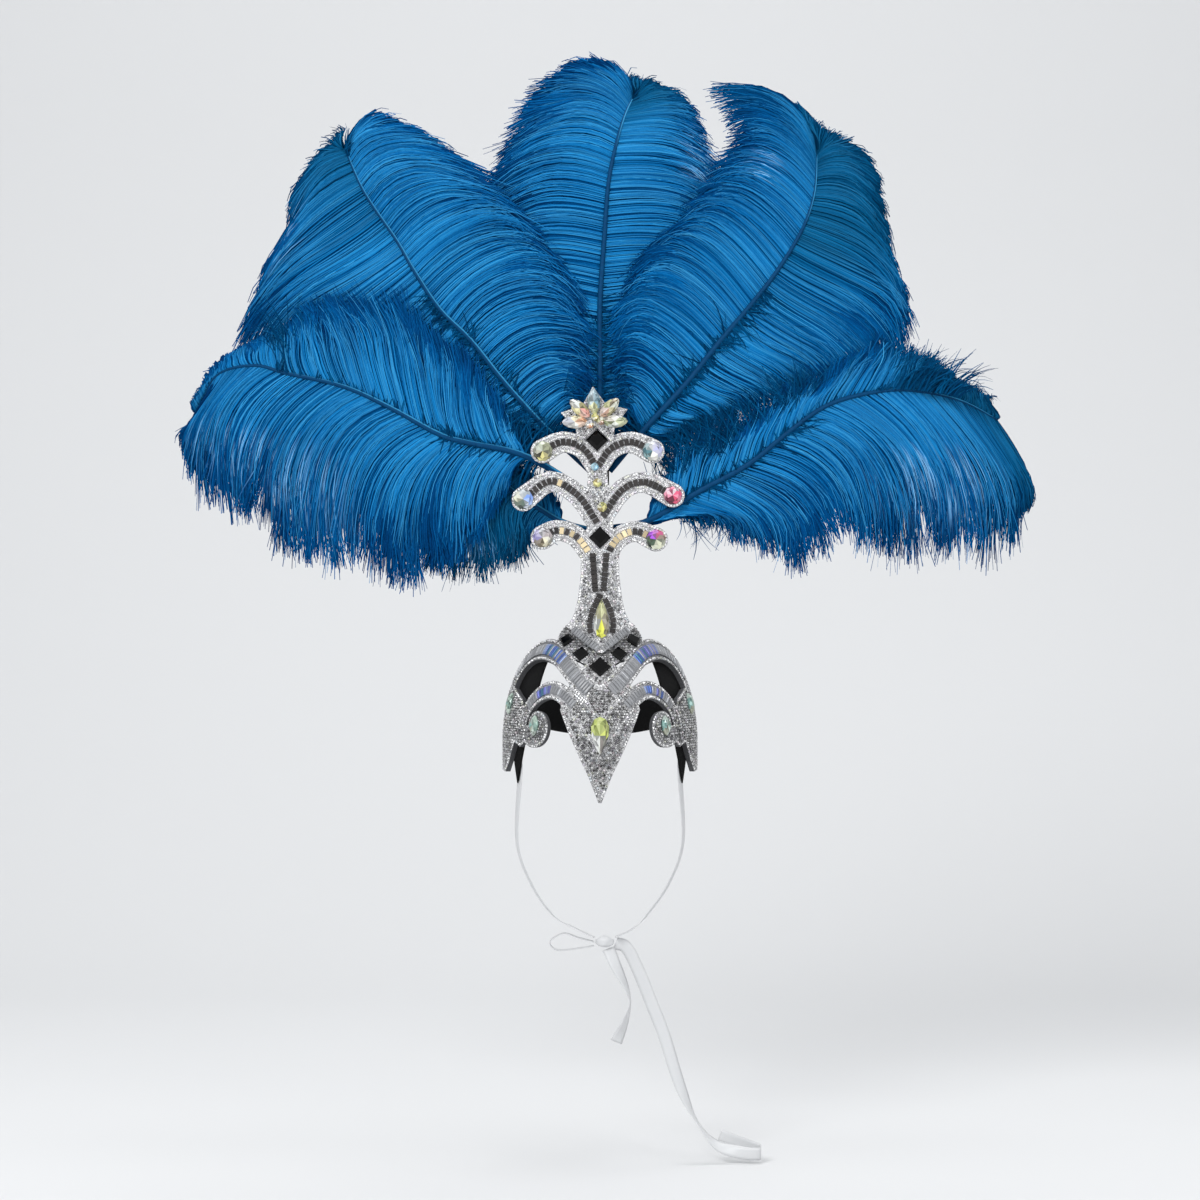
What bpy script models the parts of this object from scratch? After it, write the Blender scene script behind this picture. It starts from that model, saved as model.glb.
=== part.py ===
# Showgirl feather headdress: a pierced brow piece, an upright plaque with arms, six ostrich plumes,
# an elastic head band and satin ties. Metres, +Z up, the wearer faces -Y.
# The origin is the middle of the head at its widest line.
import math

import bmesh
import bpy
import numpy as np
from mathutils import Matrix, Vector

# Driving sizes
GAP = 0.0003
HEAD_HALF_WIDTH = 0.078
HEAD_HALF_DEPTH = 0.096
HEAD_DOME = 0.111
BASE_THICKNESS = 0.004

ARC_RADIUS = 0.090
HEADPIECE_RISE = 0.097
BROW_POINT_DROP = 0.046
VOLUTE_TURN_GAIN = 0.0125
VOLUTE_EYE_RADIUS = 0.0085
HEADPIECE_CELL = 0.0115

STEM_BACK_DEPTH = 0.071
STEM_FOOT_CLEARANCE = 0.003
STEM_HEIGHT = 0.223
ARM_REACH = 0.060
ARM_HALF_WIDTH = 0.0087
ARM_END_RADIUS = 0.0100
STAR_THICKNESS = 0.003
STAR_OUTER_RADIUS = 0.029
STAR_INNER_RADIUS = 0.017
STAR_FOOT_SHARE = 0.80
STAR_NOTCH_RADIUS = 0.003

FAN_RADIUS = 0.360
HOLDER_SHARE = 0.57
HOLDER_WIDTH = 0.015
HOLDER_TALL = 0.080
LAYER_SPACING = 0.014
QUILL_RADIUS = 0.0024
QUILL_TIP_SHARE = 0.35
VANE_THICKNESS = 0.0016
TIP_CURL = 0.045
VANE_CUP = 0.007
LOCKS_PER_SIDE = 12
LOCK_ROOT_SHARE = 0.80
LOCK_HALF_SHARE = 0.72
LOCK_TIP_VARIES = 0.03
BARB_SWEEP = 0.22
QUILL_STEPS = 4

BAND_WIDTH = 0.034
BAND_THICKNESS = 0.0015
BAND_FRONT_ANGLE = 47.0
BAND_FRONT_HEIGHT = 0.052
BAND_BACK_HEIGHT = 0.018
BAND_COLUMNS = 28
TAB_THICKNESS = 0.0012
TAB_ANGLE = 63.0
TAB_HALF_ANGLE = 10.0
TAB_TOP_HEIGHT = 0.010
TAB_MIDDLE_HALF = 0.0215
TAB_END_HALF = 0.0030
RIBBON_WIDTH = 0.0105
RIBBON_THICKNESS = 0.0010
CHIN_DROP = 0.1635
KNOT_FORWARD = 0.060
KNOT_SIDE = 0.004
KNOT_SIZE = (0.016, 0.013, 0.010)
TAIL_SCALE = 0.100

ROUND_GEM_RADIUS = 0.0082
ROUND_GEM_HEIGHT = 0.0040
SQUARE_GEM_HALF = 0.0092
SQUARE_GEM_HEIGHT = 0.0030
BROW_SQUARE_HALF = 0.0068
MIDDLE_SQUARE_SHARE = 0.660
PEAR_HEIGHT = 0.0045
NAVETTE_HEIGHT = 0.0035
STAR_GEM_REACH = 0.55
STAR_GEM_STEP = 50.0
GIRDLE_SHARE = 0.35
TABLE_SHARE = 0.55

# The plaque's foot stands just over the brow's middle square, and the holder behind the plaque
STEM_FOOT_HEIGHT = MIDDLE_SQUARE_SHARE * HEADPIECE_RISE + SQUARE_GEM_HALF + STEM_FOOT_CLEARANCE
HOLDER_HEIGHT_CENTRE = STEM_FOOT_HEIGHT + HOLDER_SHARE * STEM_HEIGHT

# Bands of the brow piece, right side: degrees round the head, height share of HEADPIECE_RISE,
# half width in metres
BROW_BANDS = {
    "diamond_row": [(-4, 0.68, 0.0090), (14, 0.79, 0.0090), (29, 0.90, 0.0085), (37, 0.93, 0.0085)],
    "upper": [
        (4, 0.42, 0.010), (13, 0.53, 0.0090), (24, 0.665, 0.0082), (35, 0.755, 0.0080),
        (48, 0.790, 0.0082), (61, 0.765, 0.0085), (72, 0.680, 0.0095), (79, 0.54, 0.0110),
        (81, 0.38, 0.0120),
    ],
    "lower": [
        (2, 0.12, 0.010), (13, 0.30, 0.0090), (23, 0.42, 0.0075), (32, 0.462, 0.0070),
        (41, 0.420, 0.0065), (48, 0.325, 0.0060), (52, 0.190, 0.0060), (54, 0.060, 0.0070),
    ],
}
# Filled patches, right side: degrees round the head, height share
BROW_PATCHES = {
    "brow_point": [
        (-6, 0.72), (-6.5, -0.26), (-0.9, -BROW_POINT_DROP / HEADPIECE_RISE),
        (0.9, -BROW_POINT_DROP / HEADPIECE_RISE), (6.5, -0.26), (24.3, 0.30), (21, 0.47), (14, 0.62),
        (6, 0.72),
    ],
    "infill": [(8, 0.68), (23, 0.72), (31, 0.80), (28, 0.86), (8, 0.80)],
    "flank": [(50, 0.26), (56, 0.38), (69, 0.46), (88, 0.50), (91, 0.30), (91, 0.05), (90, -0.14),
              (85, -0.25), (75, -0.25), (68, -0.16), (60, 0.02), (54, -0.02), (50, 0.02)],
}
VOLUTE = {"degrees": 41.0, "height": 0.165, "turn_steps": 26}

# Column of the plaque: height share of STEM_HEIGHT, middle and half width as shares of ARM_REACH
COLUMN = [
    (0.00, 0.01, 0.03), (0.10, 0.01, 0.48), (0.12, 0.00, 0.40), (0.15, 0.00, 0.35),
    (0.20, 0.00, 0.305), (0.29, 0.00, 0.264), (0.36, 0.00, 0.264), (0.40, -0.02, 0.333),
    (0.46, 0.00, 0.18), (0.53, 0.00, 0.174), (0.60, -0.03, 0.153), (0.67, -0.035, 0.132),
    (0.72, -0.03, 0.139), (0.76, -0.04, 0.222), (0.80, -0.07, 0.25), (0.86, -0.07, 0.208),
]
# Arms of the plaque: (out, up) of root, shoulder, crest and end stone; out as a share of ARM_REACH,
# up as a share of STEM_HEIGHT
ARMS = {
    "lower_left": [(-0.08, 0.345), (-0.326, 0.431), (-0.597, 0.4535), (-0.790, 0.4275)],
    "lower_right": [(0.06, 0.345), (0.236, 0.4216), (0.486, 0.450), (0.772, 0.420)],
    "middle_left": [(-0.04, 0.483), (-0.306, 0.584), (-0.680, 0.6357), (-1.055, 0.569)],
    "middle_right": [(0.04, 0.505), (0.306, 0.604), (0.625, 0.632), (1.000, 0.5836)],
    "upper_left": [(-0.05, 0.690), (-0.236, 0.758), (-0.514, 0.781), (-0.790, 0.747)],
    "upper_right": [(-0.02, 0.695), (0.153, 0.7565), (0.430, 0.781), (0.722, 0.747)],
}
STAR_CENTRE = (-0.07, 0.855)
STAR_TURN = 3.0
# Round stones down the column: (out, up) of the middle, radius in metres
COLUMN_GEMS = [(-0.07, 0.69, 0.0030), (-0.035, 0.63, 0.0036), (0.03, 0.54, 0.0038)]
# Black squares along the brow: degrees round the head, height share, half size in metres
BROW_SQUARES = [
    (-29.0, 0.900, BROW_SQUARE_HALF), (-14.0, 0.785, BROW_SQUARE_HALF),
    (0.0, MIDDLE_SQUARE_SHARE, SQUARE_GEM_HALF),
    (14.0, 0.785, BROW_SQUARE_HALF), (29.0, 0.900, BROW_SQUARE_HALF),
]

# Plumes: layer behind the plaque, where the quill leaves the holder (side, height share of
# HOLDER_TALL), and rows of (quill x, z, first edge x, z, second edge x, z) as shares of FAN_RADIUS
PLUMES = {
    "plume_centre": {
        "layer": 2, "side": 0, "seat": 0.5,
        "rows": [
            (0.00, 0.16, -0.09, 0.18, 0.09, 0.17), (0.00, 0.32, -0.23, 0.36, 0.24, 0.35),
            (0.00, 0.46, -0.25, 0.53, 0.28, 0.51), (0.01, 0.61, -0.26, 0.69, 0.28, 0.66),
            (0.02, 0.74, -0.23, 0.80, 0.27, 0.76), (0.04, 0.84, -0.17, 0.91, 0.24, 0.86),
            (0.06, 0.90, -0.09, 1.00, 0.19, 0.92), (0.08, 0.95, 0.02, 1.015, 0.08, 0.99),
        ],
    },
    "plume_upper_left": {
        "layer": 1, "side": -1, "seat": 0.30,
        "rows": [
            (-0.12, 0.16, -0.18, 0.17, -0.05, 0.20), (-0.22, 0.27, -0.46, 0.23, -0.03, 0.36),
            (-0.30, 0.37, -0.64, 0.29, -0.07, 0.50), (-0.37, 0.44, -0.81, 0.36, -0.14, 0.60),
            (-0.43, 0.53, -0.81, 0.46, -0.20, 0.66), (-0.47, 0.60, -0.76, 0.56, -0.26, 0.71),
            (-0.55, 0.71, -0.71, 0.70, -0.32, 0.79), (-0.59, 0.82, -0.60, 0.85, -0.50, 0.89),
        ],
    },
    "plume_upper_right": {
        "layer": 1, "side": 1, "seat": 0.30,
        "rows": [
            (0.10, 0.16, 0.05, 0.21, 0.17, 0.14), (0.20, 0.27, 0.04, 0.39, 0.44, 0.21),
            (0.28, 0.37, 0.09, 0.53, 0.60, 0.26), (0.34, 0.44, 0.18, 0.63, 0.72, 0.38),
            (0.41, 0.53, 0.25, 0.71, 0.69, 0.51), (0.47, 0.63, 0.29, 0.78, 0.66, 0.66),
            (0.50, 0.72, 0.33, 0.86, 0.63, 0.77), (0.51, 0.82, 0.32, 0.97, 0.44, 0.95),
        ],
    },
    "plume_lower_left": {
        "layer": 0, "side": -1, "seat": 0.05,
        "rows": [
            (-0.17, 0.10, -0.20, 0.16, -0.22, 0.00), (-0.30, 0.13, -0.30, 0.31, -0.30, -0.21),
            (-0.37, 0.15, -0.37, 0.36, -0.40, -0.23), (-0.48, 0.21, -0.47, 0.44, -0.52, -0.21),
            (-0.59, 0.26, -0.59, 0.46, -0.63, -0.14), (-0.72, 0.29, -0.69, 0.43, -0.76, -0.07),
            (-0.80, 0.31, -0.78, 0.39, -0.86, -0.01), (-0.89, 0.29, -0.87, 0.34, -0.95, 0.07),
            (-0.94, 0.21, -0.96, 0.24, -0.97, 0.15),
        ],
    },
    "plume_bottom_left": {
        "layer": 1, "side": -1, "seat": -0.32,
        "rows": [
            (-0.09, -0.05, -0.10, 0.00, -0.13, -0.10), (-0.17, 0.00, -0.18, 0.07, -0.17, -0.21),
            (-0.23, 0.04, -0.25, 0.10, -0.24, -0.23), (-0.29, 0.07, -0.31, 0.13, -0.35, -0.23),
            (-0.35, 0.09, -0.37, 0.10, -0.41, -0.18),
        ],
    },
    "plume_lower_right": {
        "layer": 0, "side": 1, "seat": -0.30,
        "rows": [
            (0.11, -0.05, 0.13, 0.00, 0.16, -0.07), (0.23, 0.02, 0.21, 0.12, 0.28, -0.16),
            (0.34, 0.08, 0.32, 0.17, 0.40, -0.20), (0.44, 0.16, 0.43, 0.24, 0.52, -0.17),
            (0.53, 0.22, 0.52, 0.28, 0.62, -0.12), (0.65, 0.25, 0.65, 0.35, 0.74, -0.11),
            (0.74, 0.25, 0.75, 0.34, 0.84, -0.10), (0.84, 0.23, 0.83, 0.29, 0.94, -0.09),
            (0.93, 0.19, 0.91, 0.24, 1.00, 0.00),
        ],
    },
}

# Tie down the right cheek: its heights under the tab, then (x, y, z) as shares of the head's half
# width, half depth and CHIN_DROP, then its end as (out, back, up) from the knot's side
TIE_HEIGHTS = (0.004, -0.012, -0.028)
CHEEK_ROUTE = [(0.89, -0.41, -0.50), (0.74, -0.48, -0.71), (0.50, -0.55, -0.87)]
TIE_END = [(0.014, 0.003, 0.010), (0.0, 0.001, 0.0035)]
# Free ends: (x, y, z) from the knot as shares of TAIL_SCALE, then the heading and lift in degrees of
# the ribbon's width
SHORT_TAIL = [
    (0.08, -0.05, -0.17, 20, 0), (0.205, -0.11, -0.45, 80, 0),
    (0.175, -0.13, -0.63, 60, 0), (0.093, -0.13, -0.815, 15, 0),
]
LONG_TAIL = [
    (0.184, 0.04, -0.06, 0, 50), (0.292, 0.04, -0.275, 0, 10),
    (0.392, 0.02, -0.525, 0, 0), (0.49, 0.00, -0.77, 10, 0), (0.624, -0.04, -1.19, 30, 0),
    (0.757, -0.09, -1.47, 80, 0), (0.923, -0.14, -1.66, 90, 40), (1.13, -0.19, -1.72, 90, 80),
    (1.26, -0.18, -1.73, 90, 88), (1.285, -0.13, -1.725, 90, 88), (1.24, -0.08, -1.70, 90, 88),
    (0.95, -0.05, -1.60, 90, 88),
]
BOW_LOOP = [
    (-0.22, -0.02, 0.035), (-0.34, -0.02, 0.070), (-0.455, -0.02, 0.005),
    (-0.40, -0.02, -0.065), (-0.22, -0.01, -0.055),
]

MODEL = bpy.data.collections.new("showgirl_feather_headdress")
CUTTERS = bpy.data.collections.new("cutters")


def clear_scene():
    for obj in list(bpy.data.objects):
        bpy.data.objects.remove(obj)
    bpy.context.scene.collection.children.link(MODEL)
    bpy.context.scene.collection.children.link(CUTTERS)
    CUTTERS.hide_render = True


def material(name, colour, roughness, metallic=0.0):
    made = bpy.data.materials.new(name)
    made.use_nodes = True
    shader = made.node_tree.nodes["Principled BSDF"]
    shader.inputs["Base Color"].default_value = (*colour, 1.0)
    shader.inputs["Roughness"].default_value = roughness
    shader.inputs["Metallic"].default_value = metallic
    made.diffuse_color = (*colour, 1.0)
    return made


def add_object(name, mesh, look, smooth_angle=35.0, collection=MODEL):
    made = bpy.data.objects.new(name, mesh)
    collection.objects.link(made)
    if look:
        made.data.materials.clear()
        made.data.materials.append(look)
    mesh.shade_smooth()
    mesh.set_sharp_from_angle(angle=math.radians(smooth_angle))
    return made


def mesh_from(bm, name):
    mesh = bpy.data.meshes.new(name)
    bm.normal_update()
    bm.to_mesh(mesh)
    bm.free()
    return mesh


def evaluated_copy(obj, name):
    """The mesh of an object with its modifiers applied, in world space."""
    graph = bpy.context.evaluated_depsgraph_get()
    mesh = bpy.data.meshes.new_from_object(obj.evaluated_get(graph))
    mesh.name = name
    mesh.transform(obj.matrix_world)
    return mesh


def cutter(name, mesh):
    made = add_object(name, mesh, None, collection=CUTTERS)
    made.hide_render = True
    made.display_type = "WIRE"
    return made


def boolean(obj, other, operation):
    step = obj.modifiers.new(operation.lower(), "BOOLEAN")
    step.operation = operation
    step.object = other
    step.solver = "EXACT"


def through(points, steps):
    """A smooth curve through the rows, with this many steps between two rows."""
    rows = np.array(points, float)
    ends = np.vstack([2 * rows[0] - rows[1], rows, 2 * rows[-1] - rows[-2]])
    curve = []
    for i in range(len(rows) - 1):
        a, b, c, d = ends[i], ends[i + 1], ends[i + 2], ends[i + 3]
        for k in range(steps):
            t = k / steps
            curve.append(
                0.5 * (2 * b + (c - a) * t + (2 * a - 5 * b + 4 * c - d) * t * t
                       + (3 * b - a - 3 * c + d) * t ** 3)
            )
    curve.append(rows[-1])
    return np.array(curve)


def row_at(rows, share):
    """The row at a share of the way down a table, on a smooth curve through its rows."""
    place = share * (len(rows) - 1)
    first = min(int(place), len(rows) - 2)
    table = np.array(rows, float)
    ends = np.vstack([2 * table[0] - table[1], table, 2 * table[-1] - table[-2]])
    a, b, c, d = ends[first:first + 4]
    t = place - first
    return 0.5 * (2 * b + (c - a) * t + (2 * a - 5 * b + 4 * c - d) * t * t
                  + (3 * b - a - 3 * c + d) * t ** 3)


# Surface of the head


def head_point(degrees, height, out=0.0):
    """A point this far outside the head's ellipse, degrees from the front, at a height."""
    turn = math.radians(degrees)
    shrink = math.sqrt(max(1 - (max(height, 0) / HEAD_DOME) ** 2, 0.01))
    place = Vector((
        HEAD_HALF_WIDTH * shrink * math.sin(turn),
        -HEAD_HALF_DEPTH * shrink * math.cos(turn),
        height,
    ))
    return place + head_normal(degrees, height) * out


def head_normal(degrees, height):
    turn = math.radians(degrees)
    shrink = math.sqrt(max(1 - (max(height, 0) / HEAD_DOME) ** 2, 0.01))
    return Vector((
        shrink * math.sin(turn) / HEAD_HALF_WIDTH,
        -shrink * math.cos(turn) / HEAD_HALF_DEPTH,
        max(height, 0) / HEAD_DOME ** 2,
    )).normalized()


def wrap_on_head(mesh):
    """Bends a flat sheet, x along the arc, z up, -y outward, on to the head."""
    for vertex in mesh.vertices:
        along, inward, height = vertex.co
        vertex.co = head_point(math.degrees(along / ARC_RADIUS), height, -inward)


def flat_on_head(degrees, share):
    return (math.radians(degrees) * ARC_RADIUS, share * HEADPIECE_RISE)


# Flat outlines


def band_outline(points, steps=3, end_turns=5):
    """The outline of a band through (x, z, half width) rows, with round ends."""
    line = through(points, steps)
    places = line[:, :2]
    tangent = np.gradient(places, axis=0)
    tangent /= np.linalg.norm(tangent, axis=1)[:, None]
    side = np.stack([-tangent[:, 1], tangent[:, 0]], axis=1) * line[:, 2:3]
    outline = [tuple(p) for p in places + side]
    outline += round_end(places[-1], tangent[-1], side[-1], end_turns)
    outline += [tuple(p) for p in (places - side)[::-1]]
    outline += round_end(places[0], -tangent[0], -side[0], end_turns)
    return outline


def round_end(centre, forward, side, turns):
    reach = np.linalg.norm(side)
    return [
        tuple(centre + side * math.cos(math.pi * k / turns) + forward * reach * math.sin(math.pi * k / turns))
        for k in range(1, turns)
    ]


def prism(name, outline, half_depth):
    """A cutter of this outline in x and z, as deep as asked either way of the middle."""
    bm = bmesh.new()
    face = bm.faces.new([bm.verts.new((x, -half_depth, z)) for x, z in outline])
    moved = bmesh.ops.extrude_face_region(bm, geom=[face])
    corners = [v for v in moved["geom"] if isinstance(v, bmesh.types.BMVert)]
    bmesh.ops.translate(bm, vec=(0, 2 * half_depth, 0), verts=corners)
    bmesh.ops.recalc_face_normals(bm, faces=bm.faces)
    return cutter(name, mesh_from(bm, name))


def outline_solid(name, outlines):
    """One cutter that joins all outlines."""
    pieces = [
        prism(f"{name}_{i}", outline, 0.020 + 0.001 * i) for i, outline in enumerate(outlines)
    ]
    for other in pieces[1:]:
        boolean(pieces[0], other, "UNION")
    return cutter(name, evaluated_copy(pieces[0], name))


def gridded_slab(name, low, high, columns, rows, thickness):
    """A flat slab from y 0 to -thickness, cut into a grid, so that it can bend."""
    bm = bmesh.new()
    bmesh.ops.create_grid(bm, x_segments=columns, y_segments=rows, size=0.5)
    for v in bm.verts:
        x, z = v.co.x + 0.5, v.co.y + 0.5
        v.co = (low[0] + x * (high[0] - low[0]), 0, low[1] + z * (high[1] - low[1]))
    moved = bmesh.ops.extrude_face_region(bm, geom=list(bm.faces))
    corners = [v for v in moved["geom"] if isinstance(v, bmesh.types.BMVert)]
    bmesh.ops.translate(bm, vec=(0, -thickness, 0), verts=corners)
    bmesh.ops.recalc_face_normals(bm, faces=bm.faces)
    return cutter(name, mesh_from(bm, name))


def triangulated(mesh):
    bm = bmesh.new()
    bm.from_mesh(mesh)
    bmesh.ops.triangulate(bm, faces=bm.faces)
    bmesh.ops.remove_doubles(bm, verts=bm.verts, dist=1e-6)
    bm.to_mesh(mesh)
    bm.free()
    return mesh


# Headpiece


def volute_outline():
    """A spiral disc whose turn opens by VOLUTE_TURN_GAIN, closed by a short radial step."""
    x, z = flat_on_head(VOLUTE["degrees"], VOLUTE["height"])
    outline = []
    for k in range(VOLUTE["turn_steps"] + 1):
        share = k / VOLUTE["turn_steps"]
        radius = VOLUTE_EYE_RADIUS + VOLUTE_TURN_GAIN * share
        turn = 2 * math.pi * share
        outline.append((x + radius * math.cos(turn), z + radius * math.sin(turn)))
    return outline


def headpiece(look):
    outlines = [
        band_outline([(*flat_on_head(d, s), w) for d, s, w in rows]) for rows in BROW_BANDS.values()
    ]
    outlines += [[flat_on_head(d, s) for d, s in rows] for rows in BROW_PATCHES.values()]
    outlines.append(volute_outline())
    shape = outline_solid("headpiece_outline", outlines)
    # The mirror plane lies in the middle of the grid's first column
    columns = math.ceil(flat_on_head(96, 0)[0] / HEADPIECE_CELL)
    low = (-HEADPIECE_CELL / 2, -1.05 * BROW_POINT_DROP)
    high = (low[0] + columns * HEADPIECE_CELL, 1.06 * HEADPIECE_RISE)
    rows = round((high[1] - low[1]) / HEADPIECE_CELL)
    slab = gridded_slab("headpiece_slab", low, high, columns, rows, BASE_THICKNESS)
    boolean(slab, shape, "INTERSECT")
    mirror = slab.modifiers.new("mirror", "MIRROR")
    mirror.use_bisect_axis[0] = True
    mirror.merge_threshold = 0.00001
    mesh = triangulated(evaluated_copy(slab, "headpiece"))
    wrap_on_head(mesh)
    return add_object("headpiece", mesh, look)


# Plaque


def stem_place(out, up):
    return (out * ARM_REACH, STEM_FOOT_HEIGHT + up * STEM_HEIGHT)


def stem_front():
    return -STEM_BACK_DEPTH - BASE_THICKNESS


def foot_depth(height):
    """How far forward the back of the plaque is at a height, where it lies on the headpiece."""
    reach = BASE_THICKNESS + GAP
    depth = HEAD_HALF_DEPTH + reach
    dome = HEAD_DOME + reach
    rest = depth * math.sqrt(max(1 - (height / dome) ** 2, 0))
    return max(STEM_BACK_DEPTH, rest)


def stem_plaque(look):
    middle = [stem_place(m, up) for up, m, _ in COLUMN]
    half = [w * ARM_REACH for _, _, w in COLUMN]
    outline = [(x - w, z) for (x, z), w in zip(middle, half)]
    outline += [(x + w, z) for (x, z), w in zip(middle[::-1], half[::-1])]
    outlines = [outline]
    for rows in ARMS.values():
        places = [stem_place(*row) for row in rows]
        widths = [ARM_HALF_WIDTH] * (len(rows) - 1) + [ARM_END_RADIUS]
        outlines.append(band_outline([(x, z, w) for (x, z), w in zip(places, widths)], end_turns=8))
    shape = outline_solid("stem_outline", outlines)
    low = (-1.4 * ARM_REACH, STEM_FOOT_HEIGHT)
    bend_top = STEM_FOOT_HEIGHT + 0.12 * STEM_HEIGHT
    bm = bmesh.new()
    heights = [low[1] + (bend_top - low[1]) * k / 4 for k in range(5)] + [STEM_FOOT_HEIGHT + STEM_HEIGHT]
    for z in heights:
        for x in (low[0], -low[0]):
            bm.verts.new((x, 0, z))
    bm.verts.ensure_lookup_table()
    for i in range(len(heights) - 1):
        bm.faces.new([bm.verts[2 * i + k] for k in (0, 1, 3, 2)])
    moved = bmesh.ops.extrude_face_region(bm, geom=list(bm.faces))
    corners = [v for v in moved["geom"] if isinstance(v, bmesh.types.BMVert)]
    bmesh.ops.translate(bm, vec=(0, -BASE_THICKNESS, 0), verts=corners)
    bmesh.ops.recalc_face_normals(bm, faces=bm.faces)
    slab = cutter("stem_slab", mesh_from(bm, "stem_slab"))
    boolean(slab, shape, "INTERSECT")
    mesh = triangulated(evaluated_copy(slab, "stem_plaque"))
    for vertex in mesh.vertices:
        vertex.co.y -= foot_depth(vertex.co.z)
    return add_object("stem_plaque", mesh, look)


def star_crown(look):
    x, z = stem_place(*STAR_CENTRE)
    outline = []
    for k in range(10):
        turn = math.radians(90 + STAR_TURN + 36 * k)
        radius = STAR_INNER_RADIUS if k % 2 else STAR_OUTER_RADIUS
        if k in (4, 6):
            radius *= STAR_FOOT_SHARE
        if k == 5:
            radius = STAR_NOTCH_RADIUS
        outline.append((x + radius * math.cos(turn), z + radius * math.sin(turn)))
    bm = bmesh.new()
    front = stem_front() - GAP - STAR_THICKNESS
    face = bm.faces.new([bm.verts.new((px, front, pz)) for px, pz in outline])
    moved = bmesh.ops.extrude_face_region(bm, geom=[face])
    corners = [v for v in moved["geom"] if isinstance(v, bmesh.types.BMVert)]
    bmesh.ops.translate(bm, vec=(0, STAR_THICKNESS, 0), verts=corners)
    bmesh.ops.recalc_face_normals(bm, faces=bm.faces)
    return add_object("star_crown", mesh_from(bm, "star_crown"), look)


# Stones


def stone_reach(kind, turn):
    """(across, up) of a stone's outline at an angle from its top, for half sizes of 1."""
    across, up = math.sin(turn), math.cos(turn)
    if kind == "pear":
        return across * abs(math.sin(turn / 2)) ** 0.9 * 1.15, up
    if kind == "navette":
        return across * abs(across) ** 0.35, up
    if kind == "square":
        far = abs(across) + abs(up)
        return across / far, up / far
    return across, up


def stone(name, kind, half_across, half_up, height, place, outward, up, look, sides=10):
    """A flat-backed cut stone with a table, crown facets and a girdle."""
    if kind == "square":
        sides = 12
    bm = bmesh.new()
    bmesh.ops.create_cone(
        bm, cap_ends=True, segments=sides, radius1=1.0, radius2=TABLE_SHARE,
        depth=height * (1 - GIRDLE_SHARE),
    )
    lower = [v for v in bm.verts if v.co.z < 0]
    base = next(f for f in bm.faces if all(v in lower for v in f.verts))
    for v in bm.verts:
        size = TABLE_SHARE if v not in lower else 1.0
        turn = math.atan2(v.co.x, v.co.y)
        across, rise = stone_reach(kind, turn)
        out = height if v not in lower else height * GIRDLE_SHARE
        v.co = (across * half_across * size, rise * half_up * size, out)
    moved = bmesh.ops.extrude_face_region(bm, geom=[base])
    bottom = [v for v in moved["geom"] if isinstance(v, bmesh.types.BMVert)]
    bmesh.ops.translate(bm, vec=(0, 0, -height * GIRDLE_SHARE), verts=bottom)
    bmesh.ops.delete(bm, geom=[base], context="FACES_ONLY")
    bmesh.ops.recalc_face_normals(bm, faces=bm.faces)
    made = add_object(name, mesh_from(bm, name), look, smooth_angle=5.0)
    out_axis = Vector(outward).normalized()
    right = Vector(up).cross(out_axis).normalized()
    frame = Matrix((right, out_axis.cross(right), out_axis)).transposed().to_4x4()
    made.matrix_world = Matrix.Translation(Vector(place) + out_axis * GAP) @ frame
    return made


def plaque_stone(name, kind, half_across, half_up, height, out, up, look):
    x, z = stem_place(out, up)
    place = (x, stem_front(), z)
    return stone(name, kind, half_across, half_up, height, place, (0, -1, 0), (0, 0, 1), look)


def head_stone(name, kind, half_across, half_up, height, degrees, share, look, top=1):
    z = share * HEADPIECE_RISE
    place = head_point(degrees, z, BASE_THICKNESS)
    return stone(
        name, kind, half_across, half_up, height, place, head_normal(degrees, z), (0, 0, top), look
    )


def star_stones(look):
    x, z = stem_place(*STAR_CENTRE)
    front = stem_front() - GAP - STAR_THICKNESS
    reach = STAR_GEM_REACH * STAR_OUTER_RADIUS
    for k in range(5):
        turn = math.radians(STAR_TURN + (k - 2) * STAR_GEM_STEP)
        tall = (-math.sin(turn), 0, math.cos(turn))
        place = (x + reach * tall[0], front, z + reach * tall[2])
        stone(
            f"star_gem_{k + 1}", "navette", 0.0042, 0.0095, NAVETTE_HEIGHT, place, (0, -1, 0), tall, look
        )


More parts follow.
